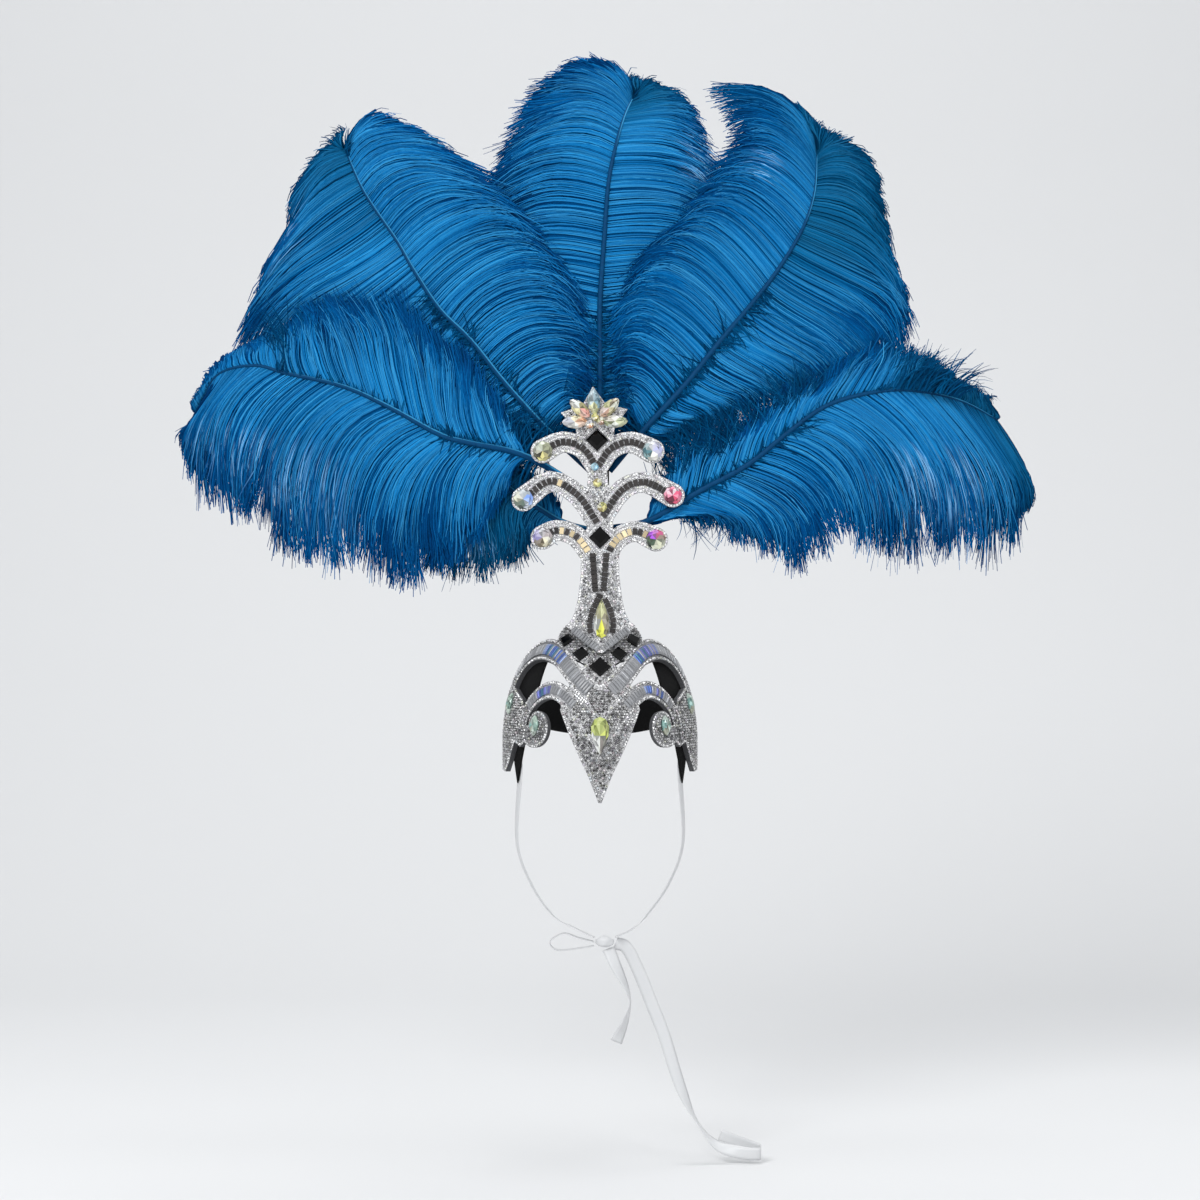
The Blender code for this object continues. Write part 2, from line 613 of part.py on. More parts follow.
def stones(looks):
    crystal, jet, teal = looks["crystal"], looks["jet"], looks["teal"]
    for i, (side, rows) in enumerate(ARMS.items()):
        size = ROUND_GEM_RADIUS * (0.88 if side == "middle_right" else 1.0)
        plaque_stone(f"arm_gem_{i + 1}", "round", size, size, ROUND_GEM_HEIGHT, *rows[-1], crystal)
    for word, out, up in (("lower", 0.0, 0.4275), ("upper", -0.04, 0.788)):
        half = SQUARE_GEM_HALF
        plaque_stone(f"stem_square_{word}", "square", half, half, SQUARE_GEM_HEIGHT, out, up, jet)
    plaque_stone("stem_pear", "pear", 0.0072, 0.0160, PEAR_HEIGHT, 0.02, 0.127, crystal)
    for i, (out, up, half) in enumerate(COLUMN_GEMS):
        plaque_stone(f"column_gem_{i + 1}", "round", half, half, 0.0025, out, up, crystal)
    star_stones(crystal)
    for i, (degrees, share, half) in enumerate(BROW_SQUARES):
        head_stone(
            f"brow_square_{i + 1}", "square", half, half, SQUARE_GEM_HEIGHT, degrees, share, jet
        )
    head_stone("brow_pear", "pear", 0.0076, 0.0146, PEAR_HEIGHT, 0.0, 0.09, looks["citrine"], top=-1)
    for side, word in ((-1, "left"), (1, "right")):
        head_stone(
            f"volute_gem_{word}", "navette", 0.0045, 0.0085, NAVETTE_HEIGHT, side * VOLUTE["degrees"],
            VOLUTE["height"], teal,
        )
        head_stone(
            f"side_gem_{word}", "navette", 0.0045, 0.0090, NAVETTE_HEIGHT, side * 71.0, 0.33, teal
        )


# Plumes


def plume_holder(look):
    bm = bmesh.new()
    bmesh.ops.create_cube(bm, size=1.0)
    depth = 3.0 * LAYER_SPACING
    middle = -STEM_BACK_DEPTH + GAP + depth / 2
    for v in bm.verts:
        v.co = (
            v.co.x * HOLDER_WIDTH, middle + v.co.y * depth, HOLDER_HEIGHT_CENTRE + v.co.z * HOLDER_TALL
        )
    return add_object("plume_holder", mesh_from(bm, "plume_holder"), look)


def plume_depth(layer, share, across):
    """How far back a plume's surface is: its layer, the curl of its tip and the cup of its vane."""
    first = -STEM_BACK_DEPTH + GAP + 0.5 * LAYER_SPACING
    curl = TIP_CURL * max(share - 0.55, 0) ** 2 / 0.45 ** 2
    return first + layer * LAYER_SPACING + curl + VANE_CUP * across ** 2


def bare_quill(parts):
    """Places down the bare quill, from the holder to where the vane starts."""
    rows = np.array(parts["rows"], float)[:, :2] * FAN_RADIUS + (0, HOLDER_HEIGHT_CENTRE)
    side = parts["side"]
    seat = HOLDER_HEIGHT_CENTRE + parts["seat"] * HOLDER_TALL
    if side:
        direction = rows[0] - (side * HOLDER_WIDTH / 2, seat)
        lean = abs(direction[1]) / np.linalg.norm(direction)
        start = (side * (HOLDER_WIDTH / 2 + GAP + QUILL_RADIUS * lean), seat)
    else:
        start = (0, seat + GAP)
    line = np.vstack([start, rows])
    return [row_at(line, k / QUILL_STEPS / (len(line) - 1)) for k in range(QUILL_STEPS)]


def plume(name, parts, look):
    """A thin vane cut into locks at its edge, thickened along its middle into the quill."""
    rows = np.array(parts["rows"], float)
    layer = parts["layer"]
    locks = LOCKS_PER_SIDE if len(rows) > 5 else LOCKS_PER_SIDE // 2 + 1
    stations = 2 * locks + 1
    shares = [k / (stations - 1) for k in range(stations)]
    bm = bmesh.new()
    weight = bm.verts.layers.deform.verify()

    def add_corner(x, y, z, thickness):
        made = bm.verts.new((x, y, z))
        made[weight][0] = thickness / (2 * QUILL_RADIUS)
        return made

    def corner(share, across, side):
        table = row_at(rows, share) * FAN_RADIUS
        root = table[:2]
        edge = table[2:4] if side == 0 else table[4:6]
        ahead = row_at(rows, min(share + 0.06, 1.0))[:2] - row_at(rows, max(share - 0.06, 0.0))[:2]
        ahead = ahead / np.linalg.norm(ahead)
        reach = np.linalg.norm(edge - root)
        control = root + (edge - root) * 0.45 + ahead * reach * BARB_SWEEP
        place = (1 - across) ** 2 * root + 2 * across * (1 - across) * control + across ** 2 * edge
        thickness = VANE_THICKNESS
        if across == 0:
            thickness = 2 * QUILL_RADIUS * (1 - (1 - QUILL_TIP_SHARE) * share)
        return add_corner(
            place[0], plume_depth(layer, share, across), place[1] + HOLDER_HEIGHT_CENTRE, thickness
        )

    def add_face(corners, side):
        bm.faces.new(corners if side else corners[::-1])

    spine = [corner(s, 0.0, 0) for s in shares]
    quill = []
    places = bare_quill(parts)
    ahead = places[1] - places[0]
    across = np.array((-ahead[1], ahead[0])) / np.linalg.norm(ahead) * QUILL_RADIUS
    for place in places:
        y = plume_depth(layer, 0.0, 0.0)
        thickness = (VANE_THICKNESS, 2 * QUILL_RADIUS, VANE_THICKNESS)
        quill.append([
            add_corner(x, y, z, t) for (x, z), t in zip((place + across, place, place - across), thickness)
        ])
    for side in (0, 1):
        columns = [spine]
        for reach in (0.5 * LOCK_ROOT_SHARE, LOCK_ROOT_SHARE):
            columns.append([corner(s, reach, side) for s in shares])
        for inner, outer in zip(columns, columns[1:]):
            for i in range(stations - 1):
                add_face([inner[i], inner[i + 1], outer[i + 1], outer[i]], side)
        root = columns[-1]
        for i in range(0, stations - 1, 2):
            middle, half = shares[i + 1], LOCK_HALF_SHARE * (shares[1] - shares[0])
            low = corner(middle - half, 0.5 + 0.5 * LOCK_ROOT_SHARE, side)
            high = corner(middle + half, 0.5 + 0.5 * LOCK_ROOT_SHARE, side)
            stray = 0.4 * half * math.sin(2.4 * i)
            tip = corner(min(middle + stray, 1.0), 1.0 + LOCK_TIP_VARIES * math.sin(1.7 * i), side)
            add_face([root[i], root[i + 1], low], side)
            add_face([root[i + 1], high, low], side)
            add_face([root[i + 1], root[i + 2], high], side)
            add_face([low, high, tip], side)
        edge = [row[2 * side] for row in quill] + [columns[1][0]]
        middle = [row[1] for row in quill] + [spine[0]]
        for i in range(QUILL_STEPS):
            add_face([middle[i], middle[i + 1], edge[i + 1], edge[i]], side)
    bmesh.ops.recalc_face_normals(bm, faces=bm.faces)
    made = add_object(name, mesh_from(bm, name), look)
    made.vertex_groups.new(name="thickness")
    wall = made.modifiers.new("wall", "SOLIDIFY")
    wall.thickness = 2 * QUILL_RADIUS
    wall.offset = 0.0
    wall.vertex_group = "thickness"
    return made


# Band, tabs and ribbons


def strip_on_head(name, look, thickness, degrees, middle, half):
    """A strip that hugs the inner face of the brow piece: middle and half width by angle."""
    bm = bmesh.new()
    lines = []
    for turn in degrees:
        heights = [middle(turn) + half(turn) * k for k in (-1, 0, 1)]
        lines.append([bm.verts.new(head_point(turn, z, -GAP)) for z in heights])
    for a, b in zip(lines, lines[1:]):
        for k in range(2):
            bm.faces.new([a[k], b[k], b[k + 1], a[k + 1]])
    bmesh.ops.recalc_face_normals(bm, faces=bm.faces)
    made = add_object(name, mesh_from(bm, name), look)
    face = made.data.polygons[0]
    wall = made.modifiers.new("wall", "SOLIDIFY")
    wall.thickness = thickness
    outward = face.normal.dot(Vector((face.center.x, face.center.y, 0))) > 0
    wall.offset = -1.0 if outward else 1.0
    return made


def head_band(look):
    length = 360 - 2 * BAND_FRONT_ANGLE

    def middle(turn):
        back = (1 - math.cos(math.radians(360 * (turn - BAND_FRONT_ANGLE) / length))) / 2
        return BAND_FRONT_HEIGHT + (BAND_BACK_HEIGHT - BAND_FRONT_HEIGHT) * back

    degrees = [BAND_FRONT_ANGLE + length * k / (BAND_COLUMNS - 1) for k in range(BAND_COLUMNS)]
    return strip_on_head("head_band", look, BAND_THICKNESS, degrees, middle, lambda _: BAND_WIDTH / 2)


def ribbon_tab(side, look):
    def half(turn):
        share = abs(abs(turn) - TAB_ANGLE) / TAB_HALF_ANGLE
        return TAB_END_HALF + (TAB_MIDDLE_HALF - TAB_END_HALF) * max(1 - share, 0)

    word = "left" if side < 0 else "right"
    degrees = [side * (TAB_ANGLE + TAB_HALF_ANGLE * k / 2) for k in (-2, -1, 0, 1, 2)]
    return strip_on_head(
        f"ribbon_tab_{word}", look, TAB_THICKNESS, degrees, lambda t: TAB_TOP_HEIGHT - half(t), half
    )


def ribbon(name, rows, look, steps=3):
    """A flat ribbon through rows of x, y, z, and the heading and lift of its width."""
    line = through(rows, steps)
    places = line[:, :3]
    tangent = np.gradient(places, axis=0)
    bm = bmesh.new()
    edges = []
    for place, ahead, heading, lift in zip(places, tangent, line[:, 3], line[:, 4]):
        heading, lift = math.radians(heading), math.radians(lift)
        across = Vector((
            math.cos(lift) * math.cos(heading), math.cos(lift) * math.sin(heading), math.sin(lift)
        ))
        ahead = Vector(ahead).normalized()
        across = (across - ahead * across.dot(ahead)).normalized() * (RIBBON_WIDTH / 2)
        edges.append((bm.verts.new(Vector(place) - across), bm.verts.new(Vector(place) + across)))
    for a, b in zip(edges, edges[1:]):
        bm.faces.new([a[0], a[1], b[1], b[0]])
    bmesh.ops.recalc_face_normals(bm, faces=bm.faces)
    made = add_object(name, mesh_from(bm, name), look)
    wall = made.modifiers.new("wall", "SOLIDIFY")
    wall.thickness = RIBBON_THICKNESS
    wall.offset = 0.0
    return made


def chin_ribbons(knot, reach, look):
    """The two ties, from behind the tabs, down the cheeks and in to the knot's sides."""
    chord_sag = (RIBBON_WIDTH / 2) ** 2 / (2 * HEAD_HALF_WIDTH)
    inside = 3 * GAP + TAB_THICKNESS + RIBBON_THICKNESS / 2 + chord_sag
    turn = math.radians(TAB_ANGLE)
    heading = math.degrees(
        math.atan2(HEAD_HALF_DEPTH * math.sin(turn), HEAD_HALF_WIDTH * math.cos(turn))
    )
    for side, word in ((-1, "left"), (1, "right")):
        rows = [
            (*head_point(side * TAB_ANGLE, z, -inside), side * heading, 0) for z in TIE_HEIGHTS
        ]
        for x, y, z in CHEEK_ROUTE:
            rows.append((side * x * HEAD_HALF_WIDTH, y * HEAD_HALF_DEPTH, z * CHIN_DROP, side * 75, 0))
        for out, back, up in TIE_END:
            rows.append((knot.x + side * (reach + out), knot.y + back, knot.z + up, side * 90, 0))
        ribbon(f"chin_ribbon_{word}", rows, look)


def ribbon_ends(knot, reach, look):
    """The two free ends and the small loop, each starting just off the knot."""
    under = KNOT_SIZE[2] / 2 + GAP + RIBBON_THICKNESS / 2
    tails = {
        "ribbon_tail_short": (SHORT_TAIL, (knot.x + 0.003, knot.y, knot.z - under, 0, 0)),
        "ribbon_tail_long": (LONG_TAIL, (knot.x + reach, knot.y + 0.002, knot.z - 0.0015, 0, 80)),
    }
    for name, (table, first) in tails.items():
        places = [knot + Vector(row[:3]) * TAIL_SCALE for row in table]
        rows = [first] + [(*place, *row[3:]) for place, row in zip(places, table)]
        ribbon(name, rows, look)
    start = knot.x - reach - RIBBON_THICKNESS / 4
    loop = [(*(knot + Vector(row) * TAIL_SCALE), 90, 0) for row in BOW_LOOP]
    loop = [(start, knot.y, knot.z, 90, 0), *loop, (start, knot.y, knot.z - 0.0035, 90, 0)]
    ribbon("ribbon_loop", loop, look)


def ribbon_knot(knot, look):
    """A block rounded in y and z, flat at its two ends in x."""
    bm = bmesh.new()
    bmesh.ops.create_cube(bm, size=1.0)
    bmesh.ops.subdivide_edges(bm, edges=bm.edges, cuts=2, use_grid_fill=True)
    for v in bm.verts:
        soft = 0.35 * v.co + 0.65 * 0.5 * v.co.normalized()
        v.co = (
            knot.x + KNOT_SIZE[0] * v.co.x, knot.y + KNOT_SIZE[1] * soft.y, knot.z + KNOT_SIZE[2] * soft.z
        )
    add_object("ribbon_knot", mesh_from(bm, "ribbon_knot"), look)


def ribbons(look):
    knot = Vector((KNOT_SIDE, -KNOT_FORWARD, -CHIN_DROP))
    reach = KNOT_SIZE[0] / 2 + GAP + RIBBON_THICKNESS / 2
    chin_ribbons(knot, reach, look)
    ribbon_ends(knot, reach, look)
    ribbon_knot(knot, look)


def build():
    clear_scene()
    silver = material("silver_rhinestone_foam", (0.62, 0.62, 0.63), 0.30, 0.6)
    looks = {
        "crystal": material("aurora_crystal", (0.85, 0.86, 0.75), 0.08),
        "citrine": material("yellow_aurora_crystal", (0.75, 0.82, 0.35), 0.08),
        "teal": material("teal_aurora_crystal", (0.45, 0.75, 0.70), 0.08),
        "jet": material("black_square_stone", (0.01, 0.01, 0.012), 0.10),
    }
    feather = material("blue_ostrich_feather", (0.005, 0.16, 0.45), 0.65)
    black = material("black_elastic", (0.012, 0.012, 0.014), 0.75)
    satin = material("white_satin", (0.88, 0.87, 0.86), 0.35)
    headpiece(silver)
    stem_plaque(silver)
    star_crown(silver)
    stones(looks)
    plume_holder(black)
    for name, parts in PLUMES.items():
        plume(name, parts, feather)
    head_band(black)
    for side in (-1, 1):
        ribbon_tab(side, black)
    ribbons(satin)


build()
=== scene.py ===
# Looks of the showgirl feather headdress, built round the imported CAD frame. Metres, +Z up, front -Y.
import math

import bpy
import numpy as np
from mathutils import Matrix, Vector


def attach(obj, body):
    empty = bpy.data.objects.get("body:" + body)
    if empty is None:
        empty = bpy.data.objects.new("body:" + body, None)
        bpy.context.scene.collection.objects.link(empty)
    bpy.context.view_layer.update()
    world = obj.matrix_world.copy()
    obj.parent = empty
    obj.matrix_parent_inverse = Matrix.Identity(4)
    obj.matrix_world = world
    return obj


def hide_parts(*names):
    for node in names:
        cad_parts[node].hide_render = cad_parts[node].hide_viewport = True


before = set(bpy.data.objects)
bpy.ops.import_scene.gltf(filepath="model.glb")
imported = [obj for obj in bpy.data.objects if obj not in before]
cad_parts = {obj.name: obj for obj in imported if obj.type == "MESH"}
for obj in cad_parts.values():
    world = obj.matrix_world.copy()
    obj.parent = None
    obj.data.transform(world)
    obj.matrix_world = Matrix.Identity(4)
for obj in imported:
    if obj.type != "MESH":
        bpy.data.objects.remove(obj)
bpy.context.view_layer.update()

# Sizes repeated from the part's source
GAP = 0.0003
HEAD_HALF_WIDTH = 0.078
HEAD_HALF_DEPTH = 0.096
HEAD_DOME = 0.111
BASE_THICKNESS = 0.004
ARC_RADIUS = 0.090
HEADPIECE_RISE = 0.097
STEM_BACK_DEPTH = 0.071
STEM_HEIGHT = 0.223
ARM_REACH = 0.060
STEM_FOOT_HEIGHT = 0.07622
FAN_RADIUS = 0.360
HOLDER_HEIGHT_CENTRE = STEM_FOOT_HEIGHT + 0.57 * STEM_HEIGHT
HOLDER_WIDTH = 0.015
HOLDER_TALL = 0.080
LAYER_SPACING = 0.014
QUILL_RADIUS = 0.0024
TIP_CURL = 0.045
VANE_CUP = 0.007
RIBBON_WIDTH = 0.0105
CHIN_DROP = 0.1635
KNOT = Vector((0.004, -0.060, -0.1635))
KNOT_SIZE = (0.016, 0.013, 0.010)
TAIL_SCALE = 0.100

FRONT = np.array((0.0, -1.0, 0.0))
# The rounded front that the glitter faces: half width, half depth and half height of an ellipsoid
FOAM_ROUND = (0.082, 0.100, 0.230)
# Small stones along the edges: how far in from the edge, and their radius
EDGE_INSET, EDGE_STONE = 0.0014, 0.00115
SATIN_WALL, SATIN_CROWN = 0.00035, 0.0004
QUILL_LIFT = 0.0022
SMALL_PLUME_BARBS = 0.45

# Where the photograph was taken from
CAMERA_DISTANCE = 2.6
CAMERA_HEIGHT = 0.120
VIEW_WIDTH = 0.996
VIEW_DEPTH = -0.060
FLOOR_HEIGHT = -0.345
SENSOR = 36.0
# Name, place, size and power of each lamp, and the point that they all face
LIGHTS = (
    ("key", (-1.3, -2.4, 1.9), 1.4, 62),
    ("fill", (1.8, -2.2, 0.9), 1.6, 20),
    ("top", (0.2, 0.3, 2.4), 1.6, 30),
)
LIT_POINT = Vector((0, -0.03, 0.25))

# As in the part: layer counts from the front, side is that of the holder, seat is how far up the holder, and
# rows are (quill x, z, first edge x, z, second edge x, z) as shares of FAN_RADIUS. Then, for each side:
# ragged: how uneven the barbs' lengths are at the fringe
# flow: angle of a barb to the quill at the base and at the tip, compass heading of barb ends at the base and
# at the tip (90 is up), and how far barbs droop back down the quill; turn adds to the heading at the tip
# smooth: from where on the edge is folded over and smooth
# teal: from where on, and how softly, the blue turns teal
PLUMES = {
    "plume_centre": {
        "layer": 2, "side": 0, "seat": 0.5,
        "rows": [
            (0.00, 0.16, -0.09, 0.18, 0.09, 0.17), (0.00, 0.32, -0.23, 0.36, 0.24, 0.35),
            (0.00, 0.46, -0.25, 0.53, 0.28, 0.51), (0.01, 0.61, -0.26, 0.69, 0.28, 0.66),
            (0.02, 0.74, -0.23, 0.80, 0.27, 0.77), (0.04, 0.84, -0.17, 0.92, 0.24, 0.88),
            (0.06, 0.91, -0.09, 1.025, 0.19, 0.945), (0.08, 0.96, 0.02, 1.037, 0.08, 1.012),
        ],
        "ragged": (0.05, 0.05),
        "flow": [(82, 35, 232, 170, 0.15), (82, 30, 305, 330, 0.15)],
        "smooth": [(0.75, 1.0), (0.55, 1.0)],
        "teal": [(0.86, 0.5), (0.66, 0.25)],
    },
    "plume_upper_left": {
        "layer": 1, "side": -1, "seat": 0.30,
        "rows": [
            (-0.12, 0.16, -0.18, 0.17, -0.05, 0.20), (-0.22, 0.27, -0.46, 0.23, -0.03, 0.36),
            (-0.30, 0.37, -0.64, 0.29, -0.07, 0.50), (-0.37, 0.44, -0.81, 0.36, -0.14, 0.60),
            (-0.43, 0.53, -0.80, 0.455, -0.20, 0.66), (-0.47, 0.60, -0.745, 0.56, -0.26, 0.72),
            (-0.55, 0.72, -0.715, 0.72, -0.33, 0.81), (-0.60, 0.83, -0.61, 0.875, -0.50, 0.915),
        ],
        "ragged": (0.04, 0.05),
        "flow": [(100, 75, 250, 236, 0.33), (78, 40, 305, 345, 0.15)],
        "smooth": [(0.45, 1.0), (0.78, 1.0)],
        "teal": [(0.60, 0.45), (0.90, 0.6)],
    },
    "plume_upper_right": {
        "layer": 1, "side": 1, "seat": 0.30,
        "rows": [
            (0.10, 0.16, 0.05, 0.21, 0.17, 0.14), (0.20, 0.27, 0.04, 0.39, 0.44, 0.21),
            (0.28, 0.37, 0.09, 0.53, 0.60, 0.26), (0.34, 0.44, 0.18, 0.63, 0.72, 0.38),
            (0.41, 0.53, 0.25, 0.71, 0.69, 0.51), (0.47, 0.63, 0.29, 0.78, 0.66, 0.66),
            (0.50, 0.72, 0.32, 0.87, 0.64, 0.785), (0.51, 0.82, 0.275, 0.975, 0.44, 0.965),
        ],
        "ragged": (0.05, 0.05),
        "flow": [(80, 10, 235, 192, 0.13), (95, 25, 285, 295, 0.24)],
        "turn": (0, 190),
        "smooth": [(2.0, 3.0), (0.35, 1.0)],
        "teal": [(0.80, 0.45), (0.42, 0.30)],
    },
    "plume_lower_left": {
        "layer": 0, "side": -1, "seat": 0.05,
        "rows": [
            (-0.17, 0.10, -0.20, 0.16, -0.22, 0.00), (-0.30, 0.13, -0.30, 0.31, -0.30, -0.105),
            (-0.37, 0.15, -0.37, 0.36, -0.40, -0.135), (-0.48, 0.21, -0.47, 0.44, -0.52, -0.150),
            (-0.59, 0.26, -0.59, 0.46, -0.63, -0.105), (-0.72, 0.29, -0.69, 0.43, -0.76, -0.035),
            (-0.80, 0.31, -0.78, 0.39, -0.87, 0.02), (-0.89, 0.29, -0.87, 0.34, -0.95, 0.07),
            (-0.94, 0.21, -0.96, 0.24, -0.97, 0.15),
        ],
        "ragged": (0.06, 0.13),
        "flow": [(45, 40, 112, 165, -0.10), (50, 35, 266, 285, -0.13)],
        "smooth": [(0.62, 1.0), (0.86, 1.0)],
        "teal": [(0.80, 0.4), (0.92, 0.6)],
    },
    "plume_bottom_left": {
        "layer": 1, "side": -1, "seat": -0.32,
        "rows": [
            (-0.09, -0.05, -0.10, 0.00, -0.13, -0.08), (-0.17, 0.00, -0.18, 0.07, -0.17, -0.105),
            (-0.23, 0.04, -0.25, 0.10, -0.24, -0.150), (-0.29, 0.07, -0.31, 0.13, -0.35, -0.138),
            (-0.35, 0.09, -0.37, 0.10, -0.41, -0.110),
        ],
        "ragged": (0.06, 0.17),
        "flow": [(60, 50, 120, 150, -0.04), (62, 50, 268, 262, -0.08)],
        "smooth": [(2.0, 3.0), (2.0, 3.0)],
        "teal": [(0.0, 0.2), (0.0, 0.3)],
    },
    "plume_lower_right": {
        "layer": 0, "side": 1, "seat": -0.30,
        "rows": [
            (0.11, -0.05, 0.13, 0.00, 0.16, -0.04), (0.23, 0.02, 0.21, 0.12, 0.28, -0.065),
            (0.34, 0.08, 0.32, 0.17, 0.40, -0.120), (0.44, 0.16, 0.43, 0.24, 0.52, -0.100),
            (0.53, 0.22, 0.52, 0.28, 0.62, -0.08), (0.65, 0.25, 0.65, 0.35, 0.74, -0.085),
            (0.74, 0.25, 0.75, 0.34, 0.84, -0.085), (0.84, 0.23, 0.83, 0.29, 0.955, -0.09),
            (0.93, 0.19, 0.91, 0.24, 1.01, -0.03),
        ],
        "ragged": (0.08, 0.13),
        "flow": [(45, 40, 62, 20, -0.10), (50, 35, 275, 262, -0.13)],
        "smooth": [(2.0, 3.0), (0.88, 1.0)],
        "teal": [(0.55, 0.3), (0.74, 0.3)],
    },
}
# Batches of barbs: count a side, steps along each, half width, shortest and longest reach as shares of
# the edge's distance, how far in front of the vane, tone (the under layer darker as painted shade, the top
# layer lighter as a painted highlight), how strongly they gather into strands and close into pointed tufts
# at the fringe, and how many of them carry a painted highlight streak
BARB_BATCHES = {
    "under": {"count": 430, "steps": 5, "half": 0.0027, "reach": (0.72, 0.86), "front": -0.0022,
              "tone": -0.16, "gather": 0.10, "close": 0.90, "painted_gleam": 0.0},
    "main": {"count": 3250, "steps": 7, "half": 0.00050, "reach": (0.84, 1.10), "front": 0.0,
             "tone": -0.01, "gather": 0.80, "close": 0.92, "painted_gleam": 0.0},
    "top": {"count": 640, "steps": 8, "half": 0.00036, "reach": (0.55, 1.10), "front": 0.0020,
            "tone": 0.24, "gather": 0.60, "close": 0.85, "painted_gleam": 0.55},
    "stray": {"count": 80, "steps": 8, "half": 0.00032, "reach": (1.02, 1.17), "front": 0.0010,
              "tone": 0.05, "gather": 0.20, "close": 0.40, "painted_gleam": 0.0},
}
# Tufts along the fringe of one side
FRINGE = 36
# Where a whitish sheen is painted on the barbs as caught light: first and last share of the vane, first and
# last share along them
PAINTED_SHEEN_ZONES = {
    ("plume_centre", 1): (0.45, 0.72, 0.55, 1.0),
    ("plume_upper_left", 0): (0.60, 0.88, 0.45, 0.85),
    ("plume_upper_right", 0): (0.62, 0.86, 0.35, 0.75),
    ("plume_lower_left", 1): (0.35, 0.92, 0.45, 0.95),
    ("plume_bottom_left", 1): (0.30, 0.90, 0.70, 1.0),
    ("plume_lower_right", 1): (0.45, 0.90, 0.40, 0.95),
}
# Locks in the vane of one side, and the finer strands in them
LOCKS = 17
STRANDS = 120
# Down stays out of the plaque's openings: above the lowest, wide of all of them, or wide of the upper ones
DOWN_LOWEST = 0.240
OPENINGS_HALF, UPPER_OPENINGS_HALF, UPPER_OPENINGS_HEIGHT = 0.062, 0.041, 0.213
# Tufts of down on each quill: first and last share of the vane, side of the quill (1 its left, -1 its
# right, 0 both), least and most angle to it, curl in degrees, longest in metres, count
TUFTS = {
    "plume_centre": [
        (0.0, 0.22, 0, 20, 115, 30, 0.062, 800), (0.05, 0.32, -1, 60, 110, -50, 0.070, 320),
        (0.95, 1.0, -1, 0, 50, 30, 0.022, 90),
    ],
    "plume_upper_left": [
        (0.0, 0.12, 0, 20, 115, 25, 0.036, 260), (0.0, 0.30, 0, 20, 115, 25, 0.060, 700),
        (0.08, 0.46, 1, 50, 120, 45, 0.080, 800), (0.95, 1.0, -1, 10, 80, 40, 0.026, 110),
    ],
    "plume_upper_right": [
        (0.0, 0.12, 0, 20, 115, 25, 0.036, 260), (0.0, 0.22, -1, 60, 125, 10, 0.058, 420),
        (0.0, 0.30, 0, 20, 115, 25, 0.062, 700), (0.05, 0.50, -1, 50, 120, 45, 0.080, 800),
    ],
    "plume_lower_left": [
        (0.0, 0.12, 0, 20, 100, 25, 0.034, 300), (0.0, 0.20, -1, 50, 110, 10, 0.046, 300),
        (0.0, 0.25, 0, 20, 100, 25, 0.045, 500), (0.25, 0.66, -1, 60, 95, -60, 0.070, 260),
    ],
    "plume_bottom_left": [(0.0, 0.20, 0, 20, 100, 25, 0.030, 200)],
    "plume_lower_right": [
        (0.0, 0.12, 0, 20, 100, 25, 0.040, 300), (0.0, 0.25, 1, 50, 110, 10, 0.064, 520),
        (0.0, 0.42, 0, 20, 110, 25, 0.058, 900), (0.35, 0.84, 1, 45, 80, -50, 0.048, 300),
    ],
}


# Shared mesh helpers


def mesh_object(name, points, faces, look, smooth=True):
    """A mesh from arrays; faces is an array of equal faces, or a list of mixed ones."""
    mesh = bpy.data.meshes.new(name)
    if isinstance(faces, np.ndarray):
        sides = faces.shape[1]
        mesh.vertices.add(len(points))
        mesh.vertices.foreach_set("co", np.asarray(points, np.float32).ravel())
        mesh.loops.add(faces.size)
        mesh.loops.foreach_set("vertex_index", faces.astype(np.int32).ravel())
        mesh.polygons.add(len(faces))
        mesh.polygons.foreach_set("loop_start", np.arange(0, faces.size, sides, dtype=np.int32))
        mesh.update(calc_edges=True)
    else:
        mesh.from_pydata([tuple(p) for p in points], [], faces)
    (mesh.shade_smooth if smooth else mesh.shade_flat)()
    made = bpy.data.objects.new(name, mesh)
    bpy.context.scene.collection.objects.link(made)
    mesh.materials.append(look)
    return made


def colour_points(made, name, colours):
    layer = made.data.attributes.new(name, "FLOAT_COLOR", "POINT")
    layer.data.foreach_set("color", np.asarray(colours, np.float32).ravel())


def unit(vectors):
    """The vectors at length one."""
    return vectors / (np.linalg.norm(vectors, axis=-1, keepdims=True) + 1e-12)


def ring_faces(rings, sides):
    """Faces of a closed body through rings of points, with its two ends."""
    faces = []
    for low in range(0, (rings - 1) * sides, sides):
        for k in range(sides):
            a, b = low + k, low + (k + 1) % sides
            faces.append((a, b, b + sides, a + sides))
    last = (rings - 1) * sides
    return [*faces, tuple(range(sides))[::-1], tuple(range(last, last + sides))]


def strip_mesh(centre, wide):
    """Points and faces of flat strips, from their centre lines and half widths."""
    count, places = centre.shape[:2]
    points = np.stack([centre - wide, centre + wide], axis=2).reshape(-1, 3)
    start = np.arange(count)[:, None] * 2 * places + np.arange(places - 1)[None] * 2
    return points, np.stack([start, start + 2, start + 3, start + 1], axis=2).reshape(-1, 4)


def sheet_wall(name, grid, thickness, look):
    """A wall of this thickness through a grid of points."""
    rows, columns = grid.shape[:2]
    faces = [
        (i * columns + k, i * columns + k + 1, (i + 1) * columns + k + 1, (i + 1) * columns + k)
        for i in range(rows - 1) for k in range(columns - 1)
    ]
    made = mesh_object(name, grid.reshape(-1, 3), faces, look)
    wall = made.modifiers.new("wall", "SOLIDIFY")
    wall.thickness, wall.offset = thickness, 0.0
    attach(made, "root")
    return made


def ease(t):
    t = np.clip(t, 0.0, 1.0)
    return t * t * (3 - 2 * t)


